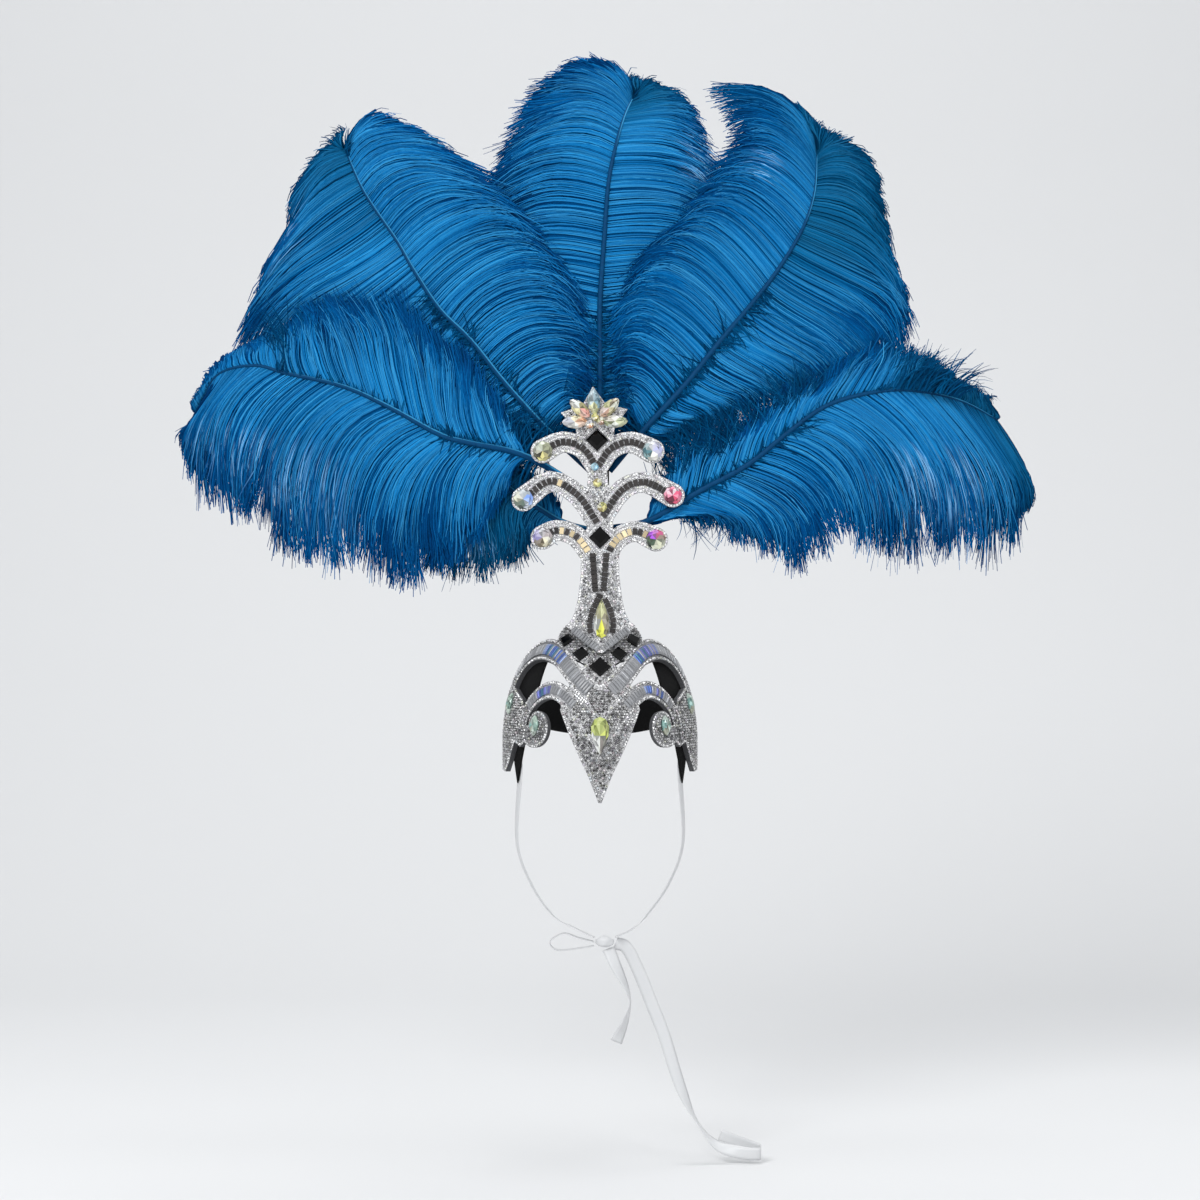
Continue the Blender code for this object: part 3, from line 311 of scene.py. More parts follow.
def spline(rows, shares):
    """Points on a smooth curve through the rows, at shares of the way down the table."""
    table = np.array(rows, float)
    ends = np.vstack([2 * table[0] - table[1], table, 2 * table[-1] - table[-2]])
    place = np.clip(shares, 0, 1) * (len(table) - 1)
    first = np.minimum(place.astype(int), len(table) - 2)
    t = (place - first)[..., None]
    a, b, c, d = ends[first], ends[first + 1], ends[first + 2], ends[first + 3]
    return 0.5 * (2 * b + (c - a) * t + (2 * a - 5 * b + 4 * c - d) * t * t
                  + (3 * b - a - 3 * c + d) * t ** 3)


def line_noise(rng, cells, place):
    table = rng.uniform(-1, 1, cells + 2)
    place = np.clip(place, 0, 1) * cells
    first = place.astype(int)
    t = ease(place - first)
    return table[first] * (1 - t) + table[first + 1] * t


def sheet_noise(rng, cells, others, place, other):
    table = rng.uniform(-1, 1, (cells + 2, others + 2))
    place = np.clip(place, 0, 1) * cells
    other = np.clip(other, 0, 1) * others
    i, j = place.astype(int), other.astype(int)
    s, t = ease(place - i), ease(other - j)
    low = table[i, j] * (1 - s) + table[i + 1, j] * s
    high = table[i, j + 1] * (1 - s) + table[i + 1, j + 1] * s
    return low * (1 - t) + high * t


# Materials


class Look:
    """A procedural material, put together by short calls."""

    def __init__(self, name, **settings):
        self.made = bpy.data.materials.new(name)
        self.made.use_nodes = True
        self.tree = self.made.node_tree
        self.shader = self.tree.nodes["Principled BSDF"]
        self.shade(**settings)

    def shade(self, **settings):
        for key, value in settings.items():
            self.put(self.shader.inputs[key.replace("_", " ")], value)

    def put(self, socket, value):
        """Links a socket, or sets its number or colour."""
        if isinstance(value, bpy.types.NodeSocket):
            self.tree.links.new(value, socket)
        elif isinstance(value, tuple) and socket.type == "RGBA":
            socket.default_value = (*value, 1.0)
        else:
            socket.default_value = value

    def node(self, kind, *values, **attributes):
        """A node with its first inputs filled from the values."""
        made = self.tree.nodes.new("ShaderNode" + kind)
        for key, value in attributes.items():
            setattr(made, key, value)
        for socket, value in zip(made.inputs, values):
            self.put(socket, value)
        return made

    def maths(self, operation, *values):
        return self.node("Math", *values, operation=operation).outputs[0]

    def vector(self, operation, *values):
        return self.node("VectorMath", *values, operation=operation).outputs

    def mix(self, factor, first, second, kind="MIX"):
        made = self.node("Mix", data_type="RGBA", blend_type=kind)
        colours = [socket for socket in made.inputs if socket.type == "RGBA"]
        for socket, value in zip([made.inputs[0], *colours], (factor, first, second)):
            self.put(socket, value)
        return next(socket for socket in made.outputs if socket.type == "RGBA")

    def texture(self, kind, scale, bands=None, **settings):
        """Outputs of a texture in object coordinates."""
        made = self.node(kind)
        if bands:
            made.bands_direction = bands
        self.put(made.inputs["Vector"], self.node("TexCoord").outputs["Object"])
        for key, value in {"Scale": scale, **settings}.items():
            made.inputs[key].default_value = value
        return made.outputs

    def bump(self, height, distance, strength):
        made = self.node("Bump")
        for key, value in (("Height", height), ("Distance", distance), ("Strength", strength)):
            self.put(made.inputs[key], value)
        self.shade(Normal=made.outputs["Normal"])


def feather_material():
    look = Look("dyed_ostrich_barbs", Roughness=0.60, Specular_IOR_Level=0.012)
    barb = look.node("Attribute", attribute_name="barb").outputs
    # The barb attribute holds tone, teal, a painted highlight and, in its alpha, a painted whitish sheen
    tone, teal, painted_shine = look.node("SeparateColor", barb["Color"]).outputs[:3]
    fleck = look.texture("TexNoise", 700.0, Detail=2.0)["Fac"]
    tone = look.maths("MULTIPLY_ADD", look.maths("SUBTRACT", fleck, 0.5), 0.25, tone)
    ramp = look.node("ValToRGB", tone)
    stops = ramp.color_ramp.elements
    stops[0].position, stops[0].color = 0.0, (0.0003, 0.018, 0.080, 1)
    stops[1].position, stops[1].color = 1.0, (0.008, 0.200, 0.500, 1)
    for place, colour in ((0.35, (0.0006, 0.054, 0.190, 1)), (0.62, (0.0012, 0.104, 0.315, 1))):
        stops.new(place).color = colour
    deep = look.mix(tone, (0.0003, 0.018, 0.055), (0.0010, 0.092, 0.222))
    colour = look.mix(teal, ramp.outputs["Color"], deep)
    # Painted highlight: barbs turn light blue where they should catch the light
    colour = look.mix(painted_shine, colour, (0.050, 0.340, 0.640))
    # Painted sheen: whitish blue streaks where barbs catch the light
    look.shade(Base_Color=look.mix(barb["Alpha"], colour, (0.200, 0.470, 0.780)))
    return look.made


def quill_material():
    """Dark quill with a lighter line painted down its upper side as a highlight."""
    look = Look("dyed_quill", Roughness=0.55, Specular_IOR_Level=0.08)
    grain = look.texture("TexNoise", 260.0, Detail=3.0)["Fac"]
    dark = look.mix(grain, (0.0003, 0.030, 0.095), (0.0008, 0.060, 0.165))
    normal = look.node("NewGeometry").outputs["Normal"]
    # Painted highlight: lighter where the surface faces up, forward and to the right
    facing = look.vector("DOT_PRODUCT", normal, (0.55, -0.60, 0.58))["Value"]
    painted_lit_line = look.maths("MULTIPLY", look.maths("SUBTRACT", facing, 0.84), 7.0)
    painted_lit_line = look.maths("MINIMUM", look.maths("MAXIMUM", painted_lit_line, 0.0), 0.8)
    look.shade(Base_Color=look.mix(painted_lit_line, dark, (0.040, 0.300, 0.560)))
    return look.made


def foam_material():
    """Silver glitter on the front, charcoal foam on the cut edges and the back."""
    look = Look("glitter_faced_foam")
    geometry = look.node("NewGeometry").outputs
    flatness = tuple(1 / size ** 2 for size in FOAM_ROUND)
    outward = look.vector("MULTIPLY", geometry["Position"], flatness)[0]
    outward = look.vector("NORMALIZE", outward)[0]
    facing = look.vector("DOT_PRODUCT", outward, geometry["True Normal"])["Value"]
    front = look.maths("GREATER_THAN", facing, 0.55)
    flecks = look.texture("TexVoronoi", 1400.0)
    tint = look.mix(flecks["Color"], (0.16, 0.16, 0.17), (0.55, 0.55, 0.56))
    grey = look.texture("TexNoise", 900.0, Detail=2.0)["Fac"]
    foam = look.mix(grey, (0.030, 0.031, 0.034), (0.085, 0.086, 0.092))
    look.shade(
        Base_Color=look.mix(front, foam, tint), Metallic=look.maths("MULTIPLY", front, 0.85),
        Roughness=look.maths("MULTIPLY_ADD", front, -0.55, 0.85),
    )
    look.bump(flecks["Distance"], 0.0004, 0.7)
    return look.made


def stone_material(name, roughness, metallic, coat=0.15):
    """Cut stone: each facet's colour comes with the mesh."""
    look = Look(name, Roughness=roughness, Metallic=metallic, Coat_Weight=coat, Coat_Roughness=0.03)
    facet = look.node("Attribute", attribute_name="facet").outputs["Color"]
    haze = look.maths("MULTIPLY", look.texture("TexNoise", 500.0, Detail=1.0)["Fac"], 0.25)
    look.shade(Base_Color=look.mix(haze, facet, (1.0, 1.0, 1.0), "SOFT_LIGHT"))
    return look.made


def jet_material():
    look = Look("jet_stone", Roughness=0.08, Specular_IOR_Level=0.22)
    cloud = look.texture("TexNoise", 300.0)["Fac"]
    look.shade(Base_Color=look.mix(cloud, (0.0006, 0.0006, 0.0007), (0.0025, 0.0025, 0.0028)))
    return look.made


def woven_material(name, dark, light, across, relief, roughness=0.8):
    """Ribbed woven cloth: fine ribs up and down, crossed by finer ones, its colour painted dark in the grooves
    as shade and light on the ridges.
    """
    look = Look(name, Roughness=roughness, Specular_IOR_Level=0.15)
    ribs = look.texture("TexWave", across, "Z", Distortion=0.4, Detail=1.0)["Fac"]
    cross = look.texture("TexWave", across * 1.7, "X", Distortion=0.6, Detail=1.0)["Fac"]
    height = look.maths("MULTIPLY", ribs, cross)
    look.shade(Base_Color=look.mix(height, dark, light))
    look.bump(height, relief, 0.8)
    return look.made


def satin_material():
    look = Look("white_satin", Roughness=0.34, Sheen_Weight=0.15, Sheen_Roughness=0.3, Specular_IOR_Level=0.4)
    threads = look.texture("TexWave", 900.0, Distortion=1.0, Detail=2.0)["Fac"]
    cloud = look.texture("TexNoise", 60.0, Detail=3.0)["Fac"]
    height = look.maths("MULTIPLY", threads, cloud)
    # The colour darkens where the threads and the cloud are low: painted shade in the weave and in soft
    # crease-like patches
    look.shade(Base_Color=look.mix(height, (0.56, 0.57, 0.58), (0.66, 0.66, 0.665)))
    look.bump(height, 0.00008, 0.5)
    return look.made


# Plumes


def ahead_of(rows, shares):
    after = spline(rows, np.minimum(shares + 0.05, 1))[..., :2]
    return unit(after - spline(rows, np.maximum(shares - 0.05, 0))[..., :2])


def compass(degrees):
    turn = np.radians(degrees)
    return np.stack([np.cos(turn), np.sin(turn)], axis=-1)


def root_of(edge_share, droop):
    """Where on the quill a barb starts: further up than its end if it droops, lower if it sweeps out."""
    power = -math.log2(0.5 - abs(droop))
    return 1 - (1 - edge_share) ** power if droop > 0 else edge_share ** power


def barb_course(parts, side, edge_share, along):
    """(x, z) down each barb, as shares of FAN_RADIUS, and how far up the quill it is."""
    rows = parts["rows"]
    base_angle, tip_angle, base_heading, tip_heading, droop = parts["flow"][side]
    root_share = root_of(edge_share, droop)
    root = spline(rows, root_share)[:, :2]
    edge = spline(rows, edge_share)[:, 2 + 2 * side:4 + 2 * side]
    middle = spline(rows, np.array([0.5]))[0]
    ahead_middle = ahead_of(rows, np.array([0.5]))[0]
    out = middle[2 + 2 * side:4 + 2 * side] - middle[:2]
    sign = np.sign(ahead_middle[0] * out[1] - ahead_middle[1] * out[0])
    ahead = ahead_of(rows, root_share)
    late = edge_share ** 3
    angle = np.radians(base_angle + (tip_angle - base_angle) * late) * sign
    leave = np.stack([
        ahead[:, 0] * np.cos(angle) - ahead[:, 1] * np.sin(angle),
        ahead[:, 0] * np.sin(angle) + ahead[:, 1] * np.cos(angle),
    ], axis=1)
    turn = parts.get("turn", (0, 0))[side] * edge_share ** 12
    arrive = compass(base_heading + (tip_heading - base_heading) * edge_share ** 2 + turn)
    reach = np.linalg.norm(edge - root, axis=1)[:, None]
    second = root + leave * reach * 0.42
    third = edge - arrive * reach * 0.40
    t = np.minimum(along, 1.0)[..., None]
    beyond = np.maximum(along - 1.0, 0.0)[..., None]
    course = ((1 - t) ** 3 * root[:, None] + 3 * t * (1 - t) ** 2 * second[:, None]
              + 3 * t * t * (1 - t) * third[:, None] + t ** 3 * edge[:, None])
    course = course + arrive[:, None] * reach[:, None] * beyond
    share = root_share[:, None] + (edge_share - root_share)[:, None] * np.minimum(along, 1)
    return course, share, reach[:, 0], root_share


def plume_depth(layer, share, across):
    first = -STEM_BACK_DEPTH + GAP + 0.5 * LAYER_SPACING
    curl = TIP_CURL * np.maximum(share - 0.55, 0) ** 2 / 0.45 ** 2
    return first + layer * LAYER_SPACING + curl + VANE_CUP * np.minimum(across, 1.1) ** 2


def fringe_tufts(parts, side, edge_share):
    """The share at which each barb's tuft ends, and how far its tuft reaches, from -1 to 1."""
    rng = np.random.default_rng(40 * parts["layer"] + 4 * len(parts["rows"]) + side)
    breaks = (np.arange(1, FRINGE) + rng.uniform(-0.42, 0.42, FRINGE - 1)) / FRINGE
    tuft = np.searchsorted(breaks, edge_share)
    ends = np.concatenate([[0.0], breaks, [1.0]])
    centre = rng.uniform(0.25, 0.75, FRINGE)
    return ends[tuft] + (ends[tuft + 1] - ends[tuft]) * centre[tuft], rng.uniform(-1, 1, FRINGE)[tuft]


def barb_strips(rng, parts, side, batch, scale, sheen_zone):
    """Points, faces and colours of one side's barbs as thin flat strips."""
    count, steps = int(batch["count"] * scale), batch["steps"]
    edge_share = rng.uniform(0.0, 1.0, count)
    droop = parts["flow"][side][4]
    power = 1 / -math.log2(0.5 - abs(droop))
    even = 1 - (1 - edge_share) ** power if droop > 0 else edge_share ** power
    edge_share = np.sort(np.where(rng.uniform(size=count) < 0.4, even, edge_share))

    def by_barb(cells):
        return line_noise(rng, cells, edge_share)

    def by_place(cells, others):
        return sheet_noise(rng, cells, others, edge_share[:, None] + 0 * along, along)

    # Lengths: ragged at the fringe, and folded over where the edge is smooth
    low, high = batch["reach"]
    length = rng.uniform(low, high, count)
    first, last = parts["smooth"][side]
    fold = ease((edge_share - first) / max(last - first, 1e-6) * 3.0) if first < 1 else np.zeros(count)
    tip_share, tip_reach = fringe_tufts(parts, side, edge_share)
    length += (1 - fold) * parts["ragged"][side] * (0.6 * by_barb(STRANDS) + 0.9 * tip_reach)
    length -= fold * (np.maximum(length - 1.0, 0) + (0.02 if batch["half"] > 0.001 else 0.0))
    along = np.linspace(0, 1, steps + 1)[None] * length[:, None]

    # Courses: each barb's own, gathered into strands and locks and closed into pointed tufts
    strand = (np.floor(edge_share * STRANDS) + 0.5) / STRANDS
    strand = strand + 0.3 / STRANDS * by_barb(STRANDS)
    course, share, reach, _ = barb_course(parts, side, edge_share, along)
    gathered = barb_course(parts, side, np.clip(strand, 0, 1), along)[0]
    lock = (np.floor(edge_share * LOCKS) + 0.5) / LOCKS
    locked = barb_course(parts, side, lock, along)[0]
    pull = (batch["gather"] * np.minimum(along, 1.1) ** 5)[..., None]
    course = course * (1 - pull) + gathered * pull
    course = course * (1 - 0.12 * pull) + locked * 0.12 * pull
    pointed = barb_course(parts, side, tip_share, along)[0]
    close = (batch["close"] * (1 - fold)[:, None] * np.clip((along - 0.66) / 0.46, 0, 1) ** 1.6)[..., None]
    course = course * (1 - close) + pointed * close
    wander = 0.012 * by_place(LOCKS * 2, 3) + 0.006 * by_place(260, 4)
    sideways = unit(np.gradient(course, axis=1))
    sideways = np.stack([-sideways[..., 1], sideways[..., 0]], axis=2)
    free = np.minimum(along, 1.3) ** 1.5
    loose = rng.normal(0, 0.010, (count, 1)) * free ** 2
    course = course + sideways * (wander * free + loose)[..., None]

    # Depths, and the fold at a smooth edge
    depth = plume_depth(parts["layer"], share, along)
    relief = 0.0030 * by_place(LOCKS, 2) + 0.0012 * by_place(STRANDS, 3)
    depth = depth + relief * free - 0.004 * np.sin(np.pi * np.minimum(along, 1))
    depth = depth + rng.normal(0, 0.0007, (count, 1)) * free - batch["front"]
    over = np.maximum(along - 0.90, 0) * fold[:, None] * reach[:, None]
    depth = depth + over * 0.8
    course = course - unit(np.gradient(course, axis=1)) * over[..., None] * 0.9
    height = course[..., 1] * FAN_RADIUS + HOLDER_HEIGHT_CENTRE
    centre = np.stack([course[..., 0] * FAN_RADIUS, depth, height], axis=2)

    # Widths, each barb rolled a little round its own line
    ahead = unit(np.gradient(centre, axis=1))
    facing = unit(FRONT + ahead * ahead[..., 1:2])
    roll = 0.22 * by_barb(LOCKS * 3) + 0.35 * by_barb(STRANDS * 4)
    roll = ((roll + rng.normal(0, 0.30, count))[:, None] + 0.3 * along)[..., None]
    wide = np.cross(ahead, facing) * np.cos(roll) + facing * np.sin(roll)
    taper = np.interp(np.linspace(0, 1, steps + 1), (0, 0.12, 0.6, 1.0), (0.6, 1.0, 0.95, 0.55))
    half = batch["half"] * taper[None, :, None] * rng.uniform(0.75, 1.25, (count, 1, 1))

    # Colours: tone, teal, a painted highlight and a painted whitish sheen, as the material reads them
    # The batch tone paints the under layer darker, as shade behind the vane, and the top layer lighter, as a
    # highlight
    tone = 0.46 + batch["tone"] + 0.04 * by_barb(LOCKS * 2)
    tone = tone + 0.08 * by_barb(STRANDS * 3) + rng.normal(0, 0.10, count)
    # The broad patches across the vane darken and lighten it as painted shade for depth
    tone = tone[:, None] + 0.12 * by_place(LOCKS, 4) + 0.08 - 0.18 * np.minimum(along, 1.1)
    teal_from, teal_soft = parts["teal"][side]
    teal = ease((share - teal_from) / teal_soft) * 0.9
    # Painted highlight: chosen patches and barbs turn light blue as if catching the light, less so on teal
    # tips
    painted_gleam = by_place(LOCKS * 5, 3) + 0.6 * by_barb(900)[:, None]
    painted_shine = np.clip(painted_gleam - 1.0, 0, 1) * 0.9 + batch["painted_gleam"] * rng.uniform(0, 1, (count, 1)) ** 2
    painted_shine = np.clip(painted_shine, 0, 1) * (1 - 0.7 * teal)
    painted_sheen = 0 * tone
    # Painted sheen: whitish streaks in the listed zones, where barbs would catch the light
    if sheen_zone:
        middle, reach_out = (sheen_zone[0] + sheen_zone[1]) / 2, (sheen_zone[1] - sheen_zone[0]) / 2
        zone = ease(1.4 - 1.4 * np.abs(share - middle) / reach_out)
        zone = zone * ease((along - sheen_zone[2]) / 0.15) * ease((sheen_zone[3] - along) / 0.15)
        sheen_streak = ease(2.4 * (by_place(230, 2) - 0.05)) * (rng.uniform(size=(count, 1)) < 0.5)
        painted_sheen = 0.85 * zone * sheen_streak
    colours = np.clip(np.stack([tone, teal, painted_shine, painted_sheen], axis=2), 0, 1)
    return *strip_mesh(centre, wide * half), np.repeat(colours, 2, axis=1).reshape(-1, 4)


def quill_line(parts, steps=40):
    """Centres down the quill from the holder to the tip, and the share of the vane at each."""
    rows = np.array(parts["rows"], float)[:, :2] * FAN_RADIUS + (0, HOLDER_HEIGHT_CENTRE)
    side = parts["side"]
    seat = HOLDER_HEIGHT_CENTRE + parts["seat"] * HOLDER_TALL
    start = (side * (HOLDER_WIDTH / 2 + GAP), seat) if side else (0, seat + GAP)
    line = np.vstack([start, rows])
    shares = np.linspace(0, 1, steps + 1)
    places = spline(line, shares)
    vane = np.clip((shares * len(rows) - 1) / (len(rows) - 1), 0, 1)
    return places, vane


def tube(centres, radii, sides=8):
    """Points and faces of a tube with closed ends."""
    ahead = unit(np.gradient(centres, axis=0))
    first = unit(np.cross(ahead, -FRONT))
    second = np.cross(ahead, first)
    turns = np.linspace(0, 2 * math.pi, sides, endpoint=False)[None, :, None]
    ring = first[:, None] * np.cos(turns) + second[:, None] * np.sin(turns)
    points = (centres[:, None] + ring * radii[:, None, None]).reshape(-1, 3)
    return points, ring_faces(len(centres), sides)


def down_strips(rng, parts, tuft, scale, steps=6):
    """Short curled down on the quill, kept clear of the openings in the plaque."""
    from_share, to_share, way, least, most, bend, longest, count = tuft
    count = int(count * scale)
    places, vane = quill_line(parts)
    first, last = (int(np.searchsorted(vane, share)) for share in (from_share, to_share))
    at = rng.uniform(first if from_share > 0 else 0.25 * last, last, count)
    index = np.arange(len(places))
    root = np.stack([np.interp(at, index, places[:, k]) for k in (0, 1)], axis=1)
    ahead = np.gradient(places, axis=0)
    quill_heading = np.interp(at, index, np.unwrap(np.arctan2(ahead[:, 1], ahead[:, 0])))
    side = np.full(count, way) if way else rng.choice((-1, 1), count)
    leave = quill_heading + side * np.radians(rng.uniform(least, most, count))
    curl = side * np.radians(rng.normal(bend, 45, count))
    length = rng.uniform(0.35 * longest, longest, count)
    share = np.linspace(0, 1, steps + 1)
    heading = leave[:, None] + curl[:, None] * share ** 1.3
    step = length[:, None, None] / steps * np.stack([np.cos(heading), np.sin(heading)], axis=2)
    course = root[:, None] + np.cumsum(step, axis=1) - step
    aside, height = np.abs(course[..., 0]), course[..., 1]
    clear = (aside > UPPER_OPENINGS_HALF) & (height > UPPER_OPENINGS_HEIGHT)
    clear = clear | (height > DOWN_LOWEST) | (aside > OPENINGS_HALF)
    course = course[clear.all(axis=1)]
    count = len(course)
    middle = (from_share + to_share) / 2
    behind = plume_depth(parts["layer"], middle, 0.0) + rng.uniform(-0.004, 0.005, (count, 1))
    depth = behind + 0.006 * rng.uniform(-0.2, 1, (count, 1)) * share
    centre = np.stack([course[..., 0], depth, course[..., 1]], axis=2)
    across = np.cross(unit(np.gradient(centre, axis=1)), FRONT)
    wide = unit(across - FRONT * rng.normal(0, 0.8, (count, 1, 1)))
    taper = np.interp(share, (0, 0.5, 1), (1, 0.8, 0.2))[None, :, None]
    half = rng.uniform(0.00035, 0.0009, (count, 1, 1)) * taper
    tone = np.repeat(rng.uniform(0.10, 0.60, count), 2 * (steps + 1))
    colours = np.stack([tone, 0 * tone + 0.75, 0 * tone, 0 * tone], axis=1)
    return *strip_mesh(centre, wide * half), colours


def plumes():
    barbs, horn = feather_material(), quill_material()
    share_made = 1.0
    for number, (name, parts) in enumerate(PLUMES.items()):
        rng = np.random.default_rng(11 + number)
        scale = share_made * (SMALL_PLUME_BARBS if name == "plume_bottom_left" else 1.0)
        made = [
            barb_strips(rng, parts, side, batch, scale, PAINTED_SHEEN_ZONES.get((name, side)))
            for side in (0, 1) for batch in BARB_BATCHES.values()
        ]
        made += [down_strips(rng, parts, tuft, share_made) for tuft in TUFTS[name]]
        points, faces, colours = zip(*made)
        starts = np.cumsum([0] + [len(some) for some in points[:-1]])
        faces = np.vstack([some + start for some, start in zip(faces, starts)])
        vane = mesh_object(f"{name}_barbs", np.vstack(points), faces, barbs)
        colour_points(vane, "barb", np.vstack(colours))
        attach(vane, "root")
        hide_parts(name)
        places, share = quill_line(parts)
        depth = plume_depth(parts["layer"], share, 0.0) - QUILL_LIFT
        centres = np.stack([places[:, 0], depth, places[:, 1]], axis=1)
        quill = mesh_object(f"{name}_quill", *tube(centres, QUILL_RADIUS * (1.15 - 0.75 * share)), horn)
        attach(quill, "root")


# Jewellery: two surfaces carry stones, and each is worked in a flat frame of its own


def head_shrink(height):
    """How much narrower the dome is at this height."""
    return math.sqrt(max(1 - (max(height, 0) / HEAD_DOME) ** 2, 0.01))


def head_point(degrees, height, out=0.0):
    turn, shrink = math.radians(degrees), head_shrink(height)
    across, back = HEAD_HALF_WIDTH * shrink * math.sin(turn), -HEAD_HALF_DEPTH * shrink * math.cos(turn)
    return Vector((across, back, height)) + head_normal(degrees, height) * out


def head_normal(degrees, height):
    turn, shrink = math.radians(degrees), head_shrink(height)
    return Vector((
        shrink * math.sin(turn) / HEAD_HALF_WIDTH, -shrink * math.cos(turn) / HEAD_HALF_DEPTH,
        max(height, 0) / HEAD_DOME ** 2,
    )).normalized()


class HeadSurface:
    """x along the arc of the head, y up."""

    def place(self, x, y):
        return head_point(math.degrees(x / ARC_RADIUS), y, BASE_THICKNESS)

    def flat(self, point):
        degrees = math.degrees(math.atan2(point.x / HEAD_HALF_WIDTH, -point.y / HEAD_HALF_DEPTH))
        height = point.z
        for _ in range(3):
            normal = head_normal(degrees, height)
            inner = point - normal * BASE_THICKNESS
            degrees = math.degrees(math.atan2(inner.x / HEAD_HALF_WIDTH, -inner.y / HEAD_HALF_DEPTH))
            height = inner.z
        return math.radians(degrees) * ARC_RADIUS, height

    def outward(self, point):
        x, y = self.flat(point)
        return head_normal(math.degrees(x / ARC_RADIUS), y)


class PlaqueSurface:
    """x across, y up, at a depth that leans over the headpiece at the foot."""

    def __init__(self, front=0.0):
        self.front = front

    def place(self, x, y):
        reach = BASE_THICKNESS + GAP
        dome = HEAD_DOME + reach
        rest = (HEAD_HALF_DEPTH + reach) * math.sqrt(max(1 - (y / dome) ** 2, 0))
        return Vector((x, -max(STEM_BACK_DEPTH, rest) - BASE_THICKNESS - self.front, y))

    def flat(self, point):
        return point.x, point.z

    def outward(self, point):
        return Vector((0, -1, 0))


def local_frame(surface, x, y):
    """Place, along x, along y and outward at a flat point."""
    step = 0.0005
    place = surface.place(x, y)
    right = (surface.place(x + step, y) - surface.place(x - step, y)).normalized()
    rise = (surface.place(x, y + step) - surface.place(x, y - step)).normalized()
    outward = right.cross(rise).normalized()
    return place, right, outward.cross(right).normalized(), outward


def front_loops(node, surface):
    """The closed edges of a CAD node's front, as flat points with the front on their left."""
    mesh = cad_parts[node].data
    keys = [tuple(round(c, 6) for c in v.co) for v in mesh.vertices]
    following = {}
    edges = set()
    for face in mesh.polygons:
        if face.normal.dot(surface.outward(face.center)) > 0.75:
            corners = [keys[i] for i in face.vertices]
            for a, b in zip(corners, corners[1:] + corners[:1]):
                if a != b:
                    edges.add((a, b))
    for a, b in edges:
        if (b, a) not in edges:
            following.setdefault(a, []).append(b)
    loops = []
    while following:
        start = next(iter(sorted(following)))
        loop = [start]
        while loop[-1] in following:
            onward = following[loop[-1]]
            nearest = onward.pop()
            if not onward:
                del following[loop[-1]]
            if nearest == start:
                break
            loop.append(nearest)
        if len(loop) > 5:
            loops.append(np.array([surface.flat(Vector(p)) for p in loop]))
    return loops


def rounded_loop(loop):
    after = np.roll(loop, -1, axis=0)
    return np.stack([0.75 * loop + 0.25 * after, 0.25 * loop + 0.75 * after], axis=1).reshape(-1, 2)


def spaced(line, spacing, closed=False):
    """Points this far apart down a line, with the direction at each."""
    if closed:
        line = np.vstack([line, line[:1]])
    far = np.concatenate([[0], np.cumsum(np.linalg.norm(np.diff(line, axis=0), axis=1))])
    count = max(int(round(far[-1] / spacing)), 1)
    marks = np.linspace(0, far[-1], count + 1)
    marks = marks[:-1] if closed else marks
    places, ahead, behind = (
        np.stack([np.interp(marks + shift, far, line[:, k]) for k in (0, 1)], axis=1)
        for shift in (0, spacing / 3, -spacing / 3)
    )
    return places, unit(ahead - behind)


def offset_line(line, inset, closed=False):
    if closed:
        ahead = unit(np.roll(line, -1, axis=0) - np.roll(line, 1, axis=0))
    else:
        ahead = unit(np.gradient(line, axis=0))
    return line + np.stack([-ahead[:, 1], ahead[:, 0]], axis=1) * inset


def inside(loops, points):
    """Which points lie inside the loops, counting crossings."""
    odd = np.zeros(len(points), bool)
    x, y = points[:, 0], points[:, 1]
    for loop in loops:
        after = np.roll(loop, -1, axis=0)
        for (ax, ay), (bx, by) in zip(loop, after):
            if ay == by:
                continue
            crosses = ((ay > y) != (by > y)) & (x < (bx - ax) * (y - ay) / (by - ay) + ax)
            odd ^= crosses
    return odd


def edge_distance(loops, points):
    nearest = np.full(len(points), 1e9)
    for loop in loops:
        for a, b in zip(loop, np.roll(loop, -1, axis=0)):
            along = b - a
            t = np.clip(((points - a) @ along) / max(along @ along, 1e-14), 0, 1)
            nearest = np.minimum(nearest, np.linalg.norm(points - a - t[:, None] * along, axis=1))
    return nearest


OUTLINES = {
    "round": lambda turn: (math.sin(turn), math.cos(turn)),
    "pear": lambda turn: (math.sin(turn) * abs(math.sin(turn / 2)) ** 0.9 * 1.15, math.cos(turn)),
    "navette": lambda turn: (math.sin(turn) * abs(math.sin(turn)) ** 0.35, math.cos(turn)),
    "square": lambda turn: (
        math.sin(turn) / (abs(math.sin(turn)) + abs(math.cos(turn))),
        math.cos(turn) / (abs(math.sin(turn)) + abs(math.cos(turn))),
    ),
    "tile": lambda turn: (
        math.sin(turn) / max(abs(math.sin(turn)), abs(math.cos(turn))),
        math.cos(turn) / max(abs(math.sin(turn)), abs(math.cos(turn))),
    ),
}
# Rings of a cut: size share, height share, and whether it is turned by half a side
SMALL_CUT = [(1.0, 0.0, 0), (1.0, 0.30, 0), (0.52, 1.0, 0)]
STAR_CUT = [(1.0, 0.0, 0), (1.0, 0.30, 0), (0.80, 0.68, 1), (0.62, 0.95, 0)]
TILE_CUT = [(1.0, 0.0, 0), (1.0, 0.60, 0), (0.90, 1.0, 0)]
BAGUETTE_CUT = [(1.0, 0.0, 0), (1.0, 0.40, 0), (0.58, 1.0, 0)]
JET_CUT = [(1.0, 0.0, 0), (1.0, 0.45, 0), (0.78, 1.0, 0)]


